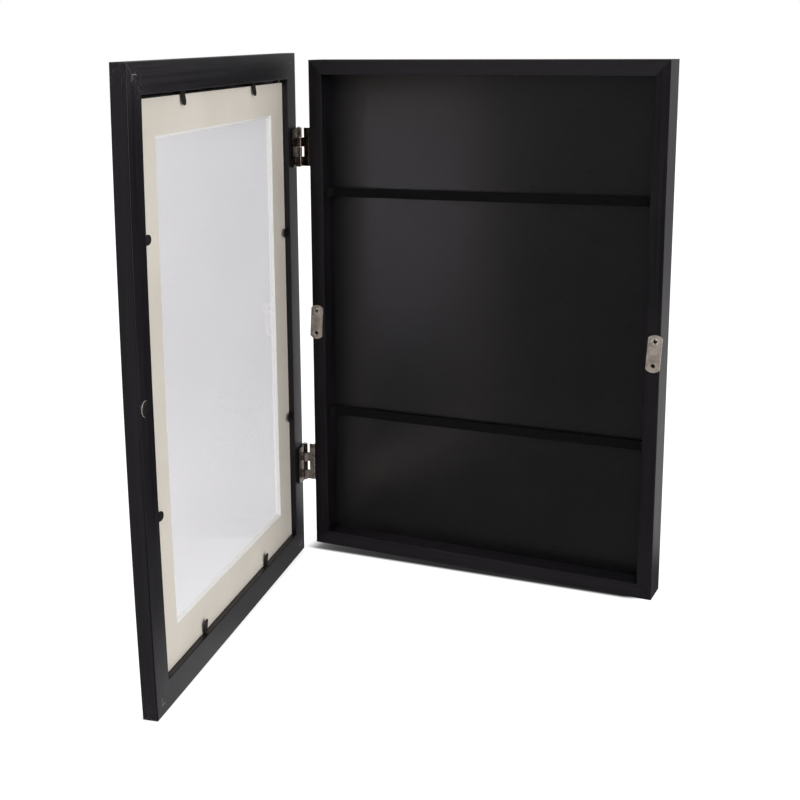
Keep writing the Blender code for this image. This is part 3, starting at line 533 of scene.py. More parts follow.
def makeRailTree(sizes):                     # the start mesh is the section, in X and Y
    tree, given = newTree("mitredRail", sizes)
    section = rounded(given["Geometry"], given["edgeRound"], given["roundSteps"])
    arris = addNode(tree, "GeometryNodeProximity", {0: given["Geometry"]}, "Distance",
                    target_element="POINTS")
    section = keep(section, "rub", step(arris, given["edgeRound"] * 0.3, given["edgeRound"] * 1.2,
                                        1.0, 0.0))
    section = keep(section, "girth", addNode(tree, "GeometryNodeSplineParameter", None, "Length"))
    path = addNode(tree, "GeometryNodeCurvePrimitiveLine",
                   {"End": vectorOf(tree, 0.0, 0.0, given["length"])})
    path = addNode(tree, "GeometryNodeResampleCurve",
                   {"Curve": path, "Count": given["slices"] + 1.0})
    path = keep(path, "along", addNode(tree, "GeometryNodeSplineParameter", None, "Length"))
    rail = sweep(path, section)
    # each rail carries its seed, its length and its share of painted light
    for name, value in (("seed", "seed"), ("span", "length"), ("tone", "tone")):
        rail = keep(rail, name, given[value])
    place = addNode(tree, "GeometryNodeInputPosition")
    inward, depth, height = place.split()
    trim = inward + given["mitreGap"]
    mitred = trim + height / given["length"] * (given["length"] - trim * 2)
    sway = addNode(tree, "ShaderNodeTexNoise",
                   {"Vector": place, "W": given["seed"], "Scale": railLook["wavesPerMetre"],
                    "Detail": 1.0}, noise_dimensions="4D")
    sway = (sway - 0.5) * 2 * given["wave"]
    rail = moved(rail, Position=vectorOf(tree, inward + sway, depth + sway, mitred))
    along, girth = (addNode(tree, "GeometryNodeInputNamedAttribute", {"Name": name},
                            data_type="FLOAT") for name in ("along", "girth"))
    rail = addNode(tree, "GeometryNodeStoreNamedAttribute",
                   {"Geometry": rail, "Name": "grain", "Value": vectorOf(tree, along, girth, 0.0)},
                   data_type="FLOAT2", domain="CORNER")
    return closeTree(rail, given["finish"])


def makeRails():
    back = boxSize["rail"] - boxSize["rebate"]
    boxSection = [(back, boxSize["inside"]), (back, boxSize["depth"]), (0, boxSize["depth"]),
                  (0, 0), (boxSize["rail"], 0), (boxSize["rail"], boxSize["inside"])]
    lipEdge = doorSize["rail"] + doorSize["lip"]
    doorSection = [(lipEdge, lipBack), (lipEdge, doorFront), (0, doorFront),
                   (0, doorSize["back"]), (doorSize["rail"], doorSize["back"]),
                   (doorSize["rail"], lipBack)]
    frames = (("box", boxSpot, boxSize, boxSection, (0, 0), 0.0,
               ("left_stile", "top_rail", "right_stile", "bottom_rail")),
              ("door", doorSpot, doorSize, doorSection, (doorLeft, doorLow), 4.0,
               ("hinge_stile", "top_rail", "free_stile", "bottom_rail")))
    sizes = {**treeSizes(railLook, paint, "edgeRound", "roundSteps", "slices", "mitreGap", "wave"),
             "length": 0.0, "seed": 0.0, "tone": 0.0}
    tree = makeRailTree(sizes)
    for body, spot, size, section, low, seed, sides in frames:
        middle = Vector((low[0] + size["width"] / 2, 0, low[1] + size["height"] / 2))
        outline = lineMesh([(x * millimetre, y * millimetre, 0) for x, y in section], True)
        for quarter, side in enumerate(sides):
            name = f"{body}_{side}"
            length, away = size["height"], size["width"]
            if quarter % 2:
                length, away = away, length
            mesh = growMesh(tree, outline, {**sizes, "length": length * millimetre,
                                            "seed": quarter + seed,
                                            "tone": railLook["paintedLightShares"].get(name, 0.0)})
            turn = Matrix.Rotation(math.radians(90 * quarter), 4, "Y")
            start = Matrix.Translation((-away / 2, 0, -length / 2))
            mesh.transform(spot @ Matrix.Translation(middle) @ turn @ start
                           @ Matrix.Scale(1 / millimetre, 4))
            work = bmesh.new()
            work.from_mesh(mesh)
            bmesh.ops.remove_doubles(work, verts=work.verts, dist=1e-7)
            evenShading(addPiece(name, meshFrom(work, mesh), [paint], body, body + "_wood",
                                 railLook["sharpAngle"]))


def spaced(stops, counts):                   # even places between the stops
    places = [stops[0]]
    for first, second, count in zip(stops, stops[1:], counts):
        places += [first + (second - first) * n / count for n in range(1, count + 1)]
    return places


def ripple(x, z, size, seed):
    return noise.noise(Vector((x / size, z / size, seed)))


def makeSheet(name, finishes, body, slotName, spot, sides, lift, hole=None, sharpAngle=32):
    # each side has its y and the places of its columns and rows; the last finish is for the cut
    work = bmesh.new()
    grids = [{} for side in sides]
    for side, (y, xs, zs) in enumerate(sides):
        for column, x in enumerate(xs):
            for row, z in enumerate(zs):
                if not (hole and hole[0] < column < hole[2] and hole[1] < row < hole[3]):
                    grids[side][column, row] = work.verts.new((x, y + lift(side, x, z), z))
    columns, rows = len(xs) - 1, len(zs) - 1
    for grid in grids:
        for column in range(columns):
            for row in range(rows):
                if not (hole and hole[0] <= column < hole[2] and hole[1] <= row < hole[3]):
                    work.faces.new([grid[column + a, row + b]
                                    for a, b in ((0, 0), (1, 0), (1, 1), (0, 1))])
    for first, low, last, high in filter(None, ((0, 0, columns, rows), hole)):
        rim = ([(column, low) for column in range(first, last)]
               + [(last, row) for row in range(low, high)]
               + [(column, high) for column in range(last, first, -1)]
               + [(first, row) for row in range(high, low, -1)])
        for before, here in zip([rim[-1], *rim], rim):
            face = work.faces.new((grids[0][before], grids[0][here],
                                   grids[1][here], grids[1][before]))
            face.material_index = len(finishes) - 1
    for face in work.faces:
        face.smooth = True
    work.transform(spot)
    return addPiece(name, meshFrom(work), finishes, body, slotName, sharpAngle)


slabLook = {"cells": (24, 34), "ripple": 0.04, "rippleSize": 45,
            "panel": {"edge": 0.25, "bow": -0.25, "seed": 3},
            "film": {"edge": 0.12, "bow": 0.04, "seed": 8}}


def makeSlab(name, finish, body, slotName, spot, low, high, look):
    def lift(side, x, z):
        across, up = (2 * (place - low[axis]) / (high[axis] - low[axis]) - 1
                      for axis, place in ((0, x), (2, z)))
        return (look["bow"] * (1 - across ** 2) * (1 - up ** 2)
                + slabLook["ripple"] * ripple(x, z, slabLook["rippleSize"], look["seed"]))

    xs, zs = (spaced((low[axis], high[axis]), (cells,))
              for axis, cells in zip((0, 2), slabLook["cells"]))
    sides = ((low[1], xs, zs), (high[1], xs, zs))
    soften(makeSheet(name, [finish], body, slotName, spot, sides, lift), look["edge"])


def makePanelAndFilm():
    edge = boxSize["rail"] - boxSize["rebate"] + clearance
    front = boxSize["inside"] + clearance
    makeSlab("back_panel", board, "box", "backboard", boxSpot, (edge, front, edge),
             (boxSize["width"] - edge, front + boxSize["panel"], boxSize["height"] - edge),
             slabLook["panel"])
    inset = doorSize["rail"] + clearance
    near = lipBack + clearance
    makeSlab("glazing_sheet", film, "door", "glazing", doorSpot,
             (doorLeft + inset, near, doorLow + inset),
             (doorRight - inset, near + doorSize["film"], doorHigh - inset), slabLook["film"])


matLook = {"sideBorder": 24.25, "endBorder": 24, "sideSlack": 0.5, "topSlack": 2.5, "bow": 0.12,
           "bowSize": 70, "seed": 2, "columns": (6, 18, 6), "rows": (6, 26, 6), "rimDrop": 0.2,
           "thick": 1.4, "slope": 1.9, "edge": 0.06, "edgeSteps": 2, "edgeAngle": 25}


def makeMat():                               # the window's cut is slanted and wider at the back
    near = lipBack + doorSize["film"] + 2 * clearance
    left, right = doorLeft + doorSize["rail"], doorRight - doorSize["rail"]
    low, high = doorLow + doorSize["rail"], doorHigh - doorSize["rail"]
    side, end = matLook["sideBorder"], matLook["endBorder"]
    sides, windows = [], []
    for y, slope in ((near + matLook["thick"], 0), (near, matLook["slope"])):
        windowX = (left + side + slope, right - side - slope)
        windowZ = (low + end + slope, high - end - slope)
        windows.append((windowX, windowZ))
        sides.append((y, spaced((left + matLook["sideSlack"], *windowX,
                                 right - matLook["sideSlack"]), matLook["columns"]),
                      spaced((low + clearance, *windowZ, high - matLook["topSlack"]),
                             matLook["rows"])))

    def lift(side, x, z):
        windowX, windowZ = windows[side]
        onRim = (x in windowX and windowZ[0] <= z <= windowZ[1]
                 or z in windowZ and windowX[0] <= x <= windowX[1])
        if side == 1 and onRim:
            return -matLook["rimDrop"]
        return matLook["bow"] * ripple(x, z, matLook["bowSize"], matLook["seed"])

    (first, wide, _), (lowest, tall, _) = matLook["columns"], matLook["rows"]
    mat = makeSheet("mat_board", [card, cardCore], "door", "mat", doorSpot, sides, lift,
                    (first, lowest, first + wide, lowest + tall), matLook["edgeAngle"])
    soften(mat, matLook["edge"], matLook["edgeSteps"], matLook["edgeAngle"])


ringLook = {"sides": 32, "corners": 8, "tube": 0.30, "flatness": 0.6, "lower": 2.15, "upper": 2.75}


def addRing(work, centre, radius):           # a pressed rim round a hole in a plate's front
    tube = ringLook["tube"] * millimetre
    rows = []
    for turn in range(ringLook["sides"]):
        angle = 2 * math.pi * turn / ringLook["sides"]
        rows.append([])
        for corner in range(ringLook["corners"]):
            tilt = 2 * math.pi * corner / ringLook["corners"]
            reach = radius * millimetre + tube * math.cos(tilt)
            rise = tube * math.sin(tilt) * ringLook["flatness"]
            rows[-1].append(work.verts.new(centre + Vector((reach * math.cos(angle), -rise,
                                                            reach * math.sin(angle)))))
    for index, row in enumerate(rows):
        for corner in range(ringLook["corners"]):
            work.faces.new((rows[index - 1][corner - 1], rows[index - 1][corner],
                            row[corner], row[corner - 1])).smooth = True


hardwareLook = {
    "edges": {"leaf": 0.22, "pin": 0.1, "plate": 0.35, "magnet": 0.35, "hanger": 0.1,
              "point": 0.12},
    "flatAngle": 0.6,                        # faces nearer to one plane than this are joined
    "edgeAngle": 40,                         # edges sharper than this are eased
    "paintedShadeFacing": 0.9,
}


def makeFromNode(node, finish, body, slotName, soft, segments=3, rings=(), paintedShadeFinish=None, lift=0):
    # a merged copy of the CAD piece, with its hard edges eased
    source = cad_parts[node]
    work = bmesh.new()
    work.from_mesh(source.data)
    work.transform(source.matrix_world)
    bmesh.ops.remove_doubles(work, verts=work.verts, dist=1e-6)
    bmesh.ops.dissolve_limit(work, angle_limit=math.radians(hardwareLook["flatAngle"]),
                             verts=work.verts, edges=work.edges)
    bmesh.ops.recalc_face_normals(work, faces=work.faces)
    bmesh.ops.translate(work, vec=doorOut * lift * millimetre, verts=work.verts)
    for face in work.faces:
        face.smooth = True
        # faces turned out of the door get the second finish, which on the magnet is painted shade
        inPaintedShade = paintedShadeFinish and face.normal.dot(doorOut) > hardwareLook["paintedShadeFacing"]
        face.material_index = 1 if inPaintedShade else 0
    for centre, radius in rings:
        addRing(work, centre, radius)
    finishes = [metals[name] for name in (finish, paintedShadeFinish) if name]
    piece = addPiece(node, meshFrom(work), finishes, body, slotName)
    soften(piece, soft, segments, hardwareLook["edgeAngle"])
    evenShading(piece)


def makeHardware():
    edges = hardwareLook["edges"]
    # the upper box leaf and both door leaves get the copy with painted shade, the lower box leaf
    # the copy with painted light
    for level, boxFinish in (("upper", "paintedShadeHinge"), ("lower", "paintedLightHinge")):
        makeFromNode(level + "_box_leaf", boxFinish, "box", "hinges", edges["leaf"])
        makeFromNode(level + "_door_leaf", "paintedShadeHinge", "door", "hinges", edges["leaf"])
        makeFromNode(level + "_hinge_pin", "brightScrew", "box", "hinges", edges["pin"])
    for side in ("left", "right"):
        rings = [(boxSpot @ Vector(strikeHole(side, end)), ringLook[hole])
                 for end, hole in ((-1, "lower"), (1, "upper"))]
        makeFromNode(side + "_strike_plate", "satinNickel", "box", "strike_plates",
                     edges["plate"], rings=rings)
    # the magnet's outward face gets painted shade, a dark nickel for the dark box it mirrors; its
    # rim keeps the bright nickel
    makeFromNode("door_magnet", "brightScrew", "door", "magnet", edges["magnet"], 4,
                 paintedShadeFinish="paintedShadeNickel", lift=0.5)
    for name in ("upright_hanger", "sideways_hanger"):
        makeFromNode(name, "zinc", "box", "hangers", edges["hanger"])
    for side in ("top", "bottom", "left", "right"):
        makeFromNode("panel_point_" + side, "blackPoint", "box", "points", edges["point"])


screwLook = {
    "sunkHead": {"radius": 2.15, "rim": 0.05, "dome": 0.08, "crossSpan": 2.7, "crossWidth": 0.62,
                 "crossDepth": 0.75, "hasCross": True},
    "flatHead": {"radius": 2.15, "rim": 0.12, "dome": 0.16, "crossSpan": 2.8, "crossWidth": 0.66,
                 "crossDepth": 0.85, "hasCross": True},
    "strikeHead": {"radius": 2.5, "rim": 0.12, "dome": 0.30, "crossSpan": 3.9, "crossWidth": 1.25,
                   "crossDepth": 1.9, "hasCross": True},
    "nailHead": {"radius": 2.0, "rim": 0.45, "dome": 0.40, "crossSpan": 1.0, "crossWidth": 0.3,
                 "crossDepth": 0.1, "hasCross": False},
    "turn": (0.5, 1.3),                      # of the first cross, and how much more each next
    "sides": 40,
    "rings": 10,
    "sharpAngle": 30,
}


def makeHeadTree():
    tree, given = newTree("fastenerHeads", treeSizes(screwLook["flatHead"], metals["screwSteel"]))
    disc = addNode(tree, "GeometryNodeMeshCylinder",
                   {"Vertices": screwLook["sides"], "Side Segments": 1,
                    "Fill Segments": screwLook["rings"], "Radius": given["radius"],
                    "Depth": given["rim"] * 2}, fill_type="NGON")
    x, y, z = addNode(tree, "GeometryNodeInputPosition").split()
    # 1.02 and, in makeTabTree, 0.999 keep a little height and width at the round edge
    crown = (1.02 - (x * x + y * y) / (given["radius"] ** 2)).maths("SQRT")
    upper = addNode(tree, "FunctionNodeCompare", {"A": z, "B": 0.0},
                    data_type="FLOAT", operation="GREATER_THAN")
    raised = moved(disc, Selection=upper, Offset=vectorOf(tree, 0.0, 0.0, crown * given["dome"]))
    top = given["rim"] + given["dome"]
    bars = [cuboid(tree, given[first], given[second], given["crossDepth"] * 2, (0.0, 0.0, top))
            for first, second in (("crossSpan", "crossWidth"), ("crossWidth", "crossSpan"))]
    slotted = addNode(tree, "GeometryNodeMeshBoolean", {0: raised, 1: bars},
                      operation="DIFFERENCE", solver="EXACT")
    head = addNode(tree, "GeometryNodeSwitch",
                   {"Switch": given["hasCross"], "False": raised, "True": slotted},
                   input_type="GEOMETRY")
    return closeTree(spreadOnPoints(given["Geometry"], head), given["finish"])


hingeLook = {"centres": {"upper": 307.3, "lower": 65.4}, "screwReach": 9, "doorInset": 5.5,
             "boxInset": 9, "doorFace": 0.45, "boxFace": -1.4}
strikeLook = {"drop": 8.5, "inset": 4, "holeReach": 8.5, "tilt": 3.4, "face": -1.4}


def strikeHole(side, end):                   # centre of a plate's upper (1) or lower (-1) hole
    lean = math.radians(strikeLook["tilt"])
    x = strikeLook["inset"] if side == "left" else boxSize["width"] - strikeLook["inset"]
    reach = end * strikeLook["holeReach"]
    return (x + reach * math.sin(lean), strikeLook["face"],
            boxSize["height"] / 2 - strikeLook["drop"] + reach * math.cos(lean))


def makeHeads(tree, name, kind, finish, body, slotName, out, tops):    # tops: a place per node
    turned = Vector(out).to_track_quat("Z", "Y").to_matrix().to_4x4()
    first, more = screwLook["turn"]
    spots = [(Matrix.Translation(top) @ turned, first + number * more)
             for number, top in enumerate(tops.values())]
    growPiece(name, tree, pointCloud(spots), treeSizes(screwLook[kind], metals[finish]),
              body, slotName, screwLook["sharpAngle"], list(tops))


def makeFasteners():
    tree = makeHeadTree()
    doorTops, boxTops, nailTops = {}, {}, {}
    for level, centre in hingeLook["centres"].items():
        for end, sign in (("a", 1), ("b", -1)):
            height = centre + sign * hingeLook["screwReach"]
            doorTops[f"{level}_door_leaf_screw_{end}"] = doorSpot @ Vector(
                (doorLeft + hingeLook["doorInset"], hingeLook["doorFace"], height))
            boxTops[f"{level}_box_leaf_screw_{end}"] = boxSpot @ Vector(
                (hingeLook["boxFace"], hingeLook["boxInset"], height))
    strikeTops = {side + "_strike_screw": boxSpot @ Vector(strikeHole(side, 1))
                  for side in ("left", "right")}
    for hanger in ("upright", "sideways"):
        for end in "ab":                     # in the middle of the CAD nail's rear face
            low, high = (Vector(corner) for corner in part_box(f"{hanger}_hanger_nail_{end}"))
            middle = (low + high) / 2
            nailTops[f"{hanger}_hanger_nail_{end}"] = Vector((middle.x, high.y, middle.z))
    for group in (
            ("door_leaf_screws", "sunkHead", "screwSteel", "door", "hinges", doorOut, doorTops),
            ("box_leaf_screws", "flatHead", "screwSteel", "box", "hinges", (-1, 0, 0), boxTops),
            ("strike_screws", "strikeHead", "brightScrew", "box", "strike_plates", (0, -1, 0),
             strikeTops),
            ("hanger_nails", "nailHead", "zinc", "box", "hangers", (0, 1, 0), nailTops)):
        makeHeads(tree, *group)


tabLook = {"width": 6.0, "length": 8.7, "thickness": 0.45, "curl": 0.5, "root": 0.3, "wide": 10,
           "long": 26}
tabSeats = {                                 # the side, how far along it, and the body
    "top_tab_1": ("top", 77.67, "top_tab_near"),
    "top_tab_2": ("top", 193.91, "top_tab_far"),
    "bottom_tab_1": ("bottom", 79.59, "bottom_tab_near"),
    "bottom_tab_2": ("bottom", 192.54, "bottom_tab_far"),
    "hinge_side_tab_1": ("hinge", 112.48, "hinge_tab_low"),
    "hinge_side_tab_2": ("hinge", 251.94, "hinge_tab_high"),
    "free_side_tab_1": ("free", 118.18, "free_tab_low"),
    "free_side_tab_2": ("free", 281.58, "free_tab_high"),
}
seatLook = {
    "depth": -3.7,
    "inset": 0.6,                            # from the rebate's wall
    "splay": 5,                              # degrees off the mat
    "room": {"top": -0.43, "bottom": 0.56},  # shifts, per sag there, so that a raised tab is clear
    "edge": 0.1,
    "edgeSteps": 2,
    "edgeAngle": 50,
}


def makeTabTree(sizes):                      # a thin strip with a round tip, curling off the mat
    tree, given = newTree("bendableTab", sizes)
    strip = addNode(tree, "GeometryNodeMeshGrid",
                    {"Size X": given["width"], "Size Y": given["length"],
                     "Vertices X": given["wide"], "Vertices Y": given["long"]})
    x, y, _ = addNode(tree, "GeometryNodeInputPosition").split()
    half = given["width"] / 2
    along = y + given["length"] / 2
    past = ((along - given["length"] + half) / half * 0.999).maths("MAXIMUM", 0.0)
    narrow = (1.0 - past * past).maths("SQRT")
    rise = given["curl"] * (along / given["length"]) ** 2 - given["thickness"] / 2
    shaped = moved(strip, Position=vectorOf(tree, x * narrow, along - given["root"], rise))
    grown = addNode(tree, "GeometryNodeExtrudeMesh",
                    {"Mesh": shaped, "Offset": vectorOf(tree, 0.0, 0.0, 1.0),
                     "Offset Scale": given["thickness"], "Individual": False}, mode="FACES")
    under = addNode(tree, "GeometryNodeFlipFaces", {0: shaped})
    whole = addNode(tree, "GeometryNodeJoinGeometry", {0: [grown, under]})
    whole = addNode(tree, "GeometryNodeMergeByDistance", {"Geometry": whole, "Distance": 1e-6})
    return closeTree(whole, given["finish"])


def makeTabs():
    sizes = treeSizes(tabLook, metals["tabSteel"])
    tree = makeTabTree(sizes)
    inset = doorSize["rail"] + seatLook["inset"]
    for name, (side, reach, body) in tabSeats.items():
        x, z, out = {"top": (doorLeft + reach, doorHigh - inset, (0, 0, -1)),
                     "bottom": (doorLeft + reach, doorLow + inset, (0, 0, 1)),
                     "hinge": (doorLeft + inset, doorLow + reach, (1, 0, 0)),
                     "free": (doorRight - inset, doorLow + reach, (-1, 0, 0))}[side]
        mesh = growMesh(tree, bpy.data.meshes.new("start"), sizes)
        yAxis, zAxis = Vector(out), Vector((0, 1, 0))
        turned = Matrix((yAxis.cross(zAxis), yAxis, zAxis)).transposed()
        splay = Matrix.Rotation(math.radians(seatLook["splay"]), 3, "X")
        mesh.transform(doorSpot @ Matrix.Translation((x, seatLook["depth"], z))
                       @ (turned @ splay).to_4x4() @ Matrix.Scale(1 / millimetre, 4))
        room = (seatLook["room"].get(side, 0) * (x - doorLeft) * doorWarp["lean"] * millimetre)
        mesh.transform(Matrix.Translation((doorOut if side == "top" else Vector((0, 0, 1))) * room))
        soften(addPiece(name, mesh, [metals["tabSteel"]], body, "tabs"), seatLook["edge"],
               seatLook["edgeSteps"], seatLook["edgeAngle"])


bandLook = {"width": 6.5, "thickness": 1.1, "cords": 8, "cordDepth": 0.14, "corner": 1.2,
            "cornerSteps": 6, "sectionPoints": 160, "sharpAngle": 60, "standoff": 2.6,
            "flap": 9.0, "spans": 40, "slack": 0.15, "sag": 0.25,
            "places": {"upper_band": (273.25, 276.75), "lower_band": (105.0, 107.0)}}


def makeBandTree(sizes):                     # a ribbed strap along the path of the start mesh
    tree, given = newTree("elasticStrap", sizes)
    path = rounded(given["Geometry"], given["corner"], bandLook["cornerSteps"])
    section = addNode(tree, "GeometryNodeCurvePrimitiveQuadrilateral",
                      {"Width": given["thickness"], "Height": given["width"]})
    section = addNode(tree, "GeometryNodeResampleCurve",
                      {"Curve": section, "Count": bandLook["sectionPoints"]})
    x, y, _ = addNode(tree, "GeometryNodeInputPosition").split()
    ridge = (y / given["width"] * given["cords"] * math.pi).maths("SINE").maths("ABSOLUTE")
    inward = (ridge - 1.0) * x.maths("SIGN") * given["cordDepth"]
    section = moved(section, Offset=vectorOf(tree, inward, 0.0, 0.0))
    return closeTree(sweep(path, section), given["finish"])


def makeBands():
    sizes = treeSizes(bandLook, elastic, "width", "thickness", "cords", "cordDepth", "corner")
    tree = makeBandTree(sizes)
    left = boxSize["rail"] + clearance + bandLook["thickness"] / 2
    right = boxSize["width"] - left
    y = boxSize["inside"] + clearance - bandLook["standoff"] - bandLook["thickness"] / 2
    flap = y - bandLook["flap"]
    for name, (leftHeight, rightHeight) in bandLook["places"].items():
        corners = [(left, flap, leftHeight), (left, y, leftHeight)]
        for count in range(1, bandLook["spans"]):
            share = count / bandLook["spans"]
            belly = math.sin(math.pi * share)
            corners.append((left + (right - left) * share, y - bandLook["slack"] * belly ** 2,
                            leftHeight + (rightHeight - leftHeight) * share
                            - bandLook["sag"] * belly))
        corners += [(right, y, rightHeight), (right, flap, rightHeight)]
        path = lineMesh([tuple(boxSpot @ Vector(corner)) for corner in corners])
        growPiece(name, tree, path, sizes, "box", "elastic", bandLook["sharpAngle"])


stapleLook = {"crown": 9.5, "leg": 5.4, "wire": 0.7, "corner": 0.5, "cornerSteps": 5,
              "sides": 12, "sharpAngle": 50}


def makeStapleTree(sizes):                   # bent wire on each point: crown along X, legs down
    tree, given = newTree("bandStaples", sizes)
    half = (given["crown"] - given["wire"]) / 2
    low = given["leg"] * -1
    corners = [vectorOf(tree, x, 0.0, z)
               for x, z in ((half * -1, low), (half * -1, 0.0), (half, 0.0), (half, low))]
    line = addNode(tree, "GeometryNodeMeshLine", {"Count": 4}, mode="OFFSET")
    index = addNode(tree, "GeometryNodeInputIndex")
    spot = corners[3]
    for number in (2, 1, 0):
        same = addNode(tree, "FunctionNodeCompare", {"A": index, "B": number},
                       data_type="INT", operation="EQUAL")
        spot = addNode(tree, "GeometryNodeSwitch",
                       {"Switch": same, "False": spot, "True": corners[number]},
                       input_type="VECTOR")
    path = rounded(moved(line, Position=spot), given["corner"], stapleLook["cornerSteps"])
    section = addNode(tree, "GeometryNodeCurvePrimitiveCircle",
                      {"Resolution": stapleLook["sides"], "Radius": given["wire"] / 2})
    return closeTree(spreadOnPoints(given["Geometry"], sweep(path, section)), given["finish"])


def makeStaples():
    seat = boxSize["rail"] + 2 * clearance + bandLook["thickness"] + stapleLook["wire"] / 2
    y = (boxSize["inside"] + clearance - bandLook["standoff"] - bandLook["thickness"]
         - bandLook["flap"] / 2)
    spots, stands = [], []
    for band, heights in bandLook["places"].items():
        for side, height, x, out in (("left", heights[0], seat, 1),
                                     ("right", heights[1], boxSize["width"] - seat, -1)):
            turned = Matrix(((0, 0, out), (0, out, 0), (-1, 0, 0))).to_4x4()
            spots.append((Matrix.Translation(boxSpot @ Vector((x, y, height))) @ turned, 0.0))
            stands.append(f"{band}_{side}_staple")
    sizes = treeSizes(stapleLook, metals["stapleWire"], "crown", "leg", "wire", "corner")
    growPiece("band_staples", makeStapleTree(sizes), pointCloud(spots), sizes,
              "box", "staples", stapleLook["sharpAngle"], stands)


vNailLook = {"inset": 6.5, "leg": 5.0, "thickness": 0.6, "depth": 6.0, "proud": 0.04,
             "sharpAngle": 30}


def makeNailTree(sizes):                     # two thin walls that meet at a right angle
    tree, given = newTree("mitreNails", sizes)
    reach, thin, paintedShadow = given["leg"] + given["thickness"], given["thickness"], given["depth"]
    walls = [cuboid(tree, x, y, paintedShadow, (x / 2, y / 2, paintedShadow * -0.5))
             for x, y in ((reach, thin), (thin, reach))]
    nail = addNode(tree, "GeometryNodeMeshBoolean", {1: walls}, operation="UNION", solver="EXACT")
    return closeTree(spreadOnPoints(given["Geometry"], nail), given["finish"])


def makeMitreNails():
    top = doorSize["back"] + vNailLook["proud"]
    corners = {"v_nail_lower_hinge": (doorLeft, doorLow, 1, 1),
               "v_nail_lower_free": (doorRight, doorLow, -1, 1),
               "v_nail_upper_hinge": (doorLeft, doorHigh, 1, -1),
               "v_nail_upper_free": (doorRight, doorHigh, -1, -1)}
    spots = []
    for x, z, alongX, alongZ in corners.values():
        place = Vector((x + alongX * vNailLook["inset"], top, z + alongZ * vNailLook["inset"]))
        first, second = Vector((alongX, 0, 0)), Vector((0, 0, alongZ))
        if first.cross(second).y < 0:        # the axes must keep +Z out of the wood
            first, second = second, first
        turned = Matrix((first, second, Vector((0, 1, 0)))).transposed().to_4x4()
        spots.append((doorSpot @ Matrix.Translation(place) @ turned, 0.0))
    sizes = treeSizes(vNailLook, metals["chippedNail"], "leg", "thickness", "depth")
    growPiece("mitre_nails", makeNailTree(sizes), pointCloud(spots), sizes,
              "door", "v_nails", vNailLook["sharpAngle"], list(corners))


makeRails()
print("rails made")
makePanelAndFilm()
makeMat()
print("panel, film and mat made")
makeHardware()
makeFasteners()
print("hinges, plates and screws made")
makeTabs()
makeBands()
makeStaples()
makeMitreNails()
print("tabs, bands and nails made")


# Studio

# the place in millimetres; yaw is left of straight ahead where it is below zero
cameraLook = {"place": (327.98, -861.44, 384.26), "yaw": -25.854, "down": 12.068, "roll": -0.493,
              "lens": 58.89, "shift": (0.0379, -0.1013)}


def makeCamera():
    yaw, down, roll = (math.radians(cameraLook[key]) for key in ("yaw", "down", "roll"))
    ahead = Vector((math.sin(yaw) * math.cos(down), math.cos(yaw) * math.cos(down),
                    -math.sin(down)))
    right = Vector((math.cos(yaw), -math.sin(yaw), 0))
    up = right.cross(ahead)
    rightTurned = right * math.cos(roll) + up * math.sin(roll)
    upTurned = up * math.cos(roll) - right * math.sin(roll)
    data = bpy.data.cameras.new("photoCamera")
    data.sensor_width = 36
    data.lens = cameraLook["lens"]
    data.shift_x, data.shift_y = cameraLook["shift"]
    data.clip_start, data.clip_end = 0.01, 50
    camera = newObject("photoCamera", data)
    turned = Matrix((rightTurned, upTurned, -ahead)).transposed().to_4x4()
    camera.matrix_world = Matrix.Translation(Vector(cameraLook["place"]) * millimetre) @ turned
    bpy.context.scene.camera = camera


lightLook = {
    "lamps": {                               # place, size, power
        "key": ((1.30, 0.05, 0.32), 0.8, 9.3),
        "fill": ((0.5, -1.1, 1.2), 0.8, 3.0),
        "front": ((-0.50, -1.35, 0.48), 0.6, 0.22),
    },
    "target": (-0.02, -0.06, 0.17),
    "dome": 0.56,
    "frontGloss": 0.05,                      # what shiny faces see in front of the object
    "backGloss": 0.46,                       # and behind it
    "through": 0.80,                         # what the film shows of the backdrop in front
}


def makeLights():
    for name, (place, size, power) in lightLook["lamps"].items():
        data = bpy.data.lights.new(name, "AREA")
        data.shape = "SQUARE"
        data.size = size
        data.energy = power
        lamp = newObject(name, data)
        lamp.location = place
        away = Vector(lightLook["target"]) - lamp.location
        lamp.rotation_euler = away.to_track_quat("-Z", "Y").to_euler()


def rays(tree, *names):                      # 1 for rays of any of these kinds
    found = path = addNode(tree, "ShaderNodeLightPath", None, names[0])
    for name in names[1:]:
        found = found.maths("MAXIMUM", path.sibling(name))
    return found


def makeWorld():                             # white behind the object, dim in front of it
    world = bpy.data.worlds.new("studio")
    bpy.context.scene.world = world
    world.use_nodes = True
    tree = world.node_tree
    tree.nodes.clear()
    behind = addNode(tree, "ShaderNodeTexCoord", None, "Generated").split()[1]
    gloss = step(behind, -0.35, 0.25, lightLook["frontGloss"], lightLook["backGloss"])
    dome = lightLook["dome"]
    strength = dome + rays(tree, "Is Glossy Ray") * (gloss - dome)
    through = rays(tree, "Is Transmission Ray") * step(behind, -0.1, 0.0, lightLook["through"], 1.0)
    strength = (strength * (1 - rays(tree, "Is Camera Ray", "Is Transmission Ray"))
                + rays(tree, "Is Camera Ray") + through)
    ground = addNode(tree, "ShaderNodeBackground", {"Color": (1, 1, 1, 1), "Strength": strength})
    closeShader(ground, "ShaderNodeOutputWorld")


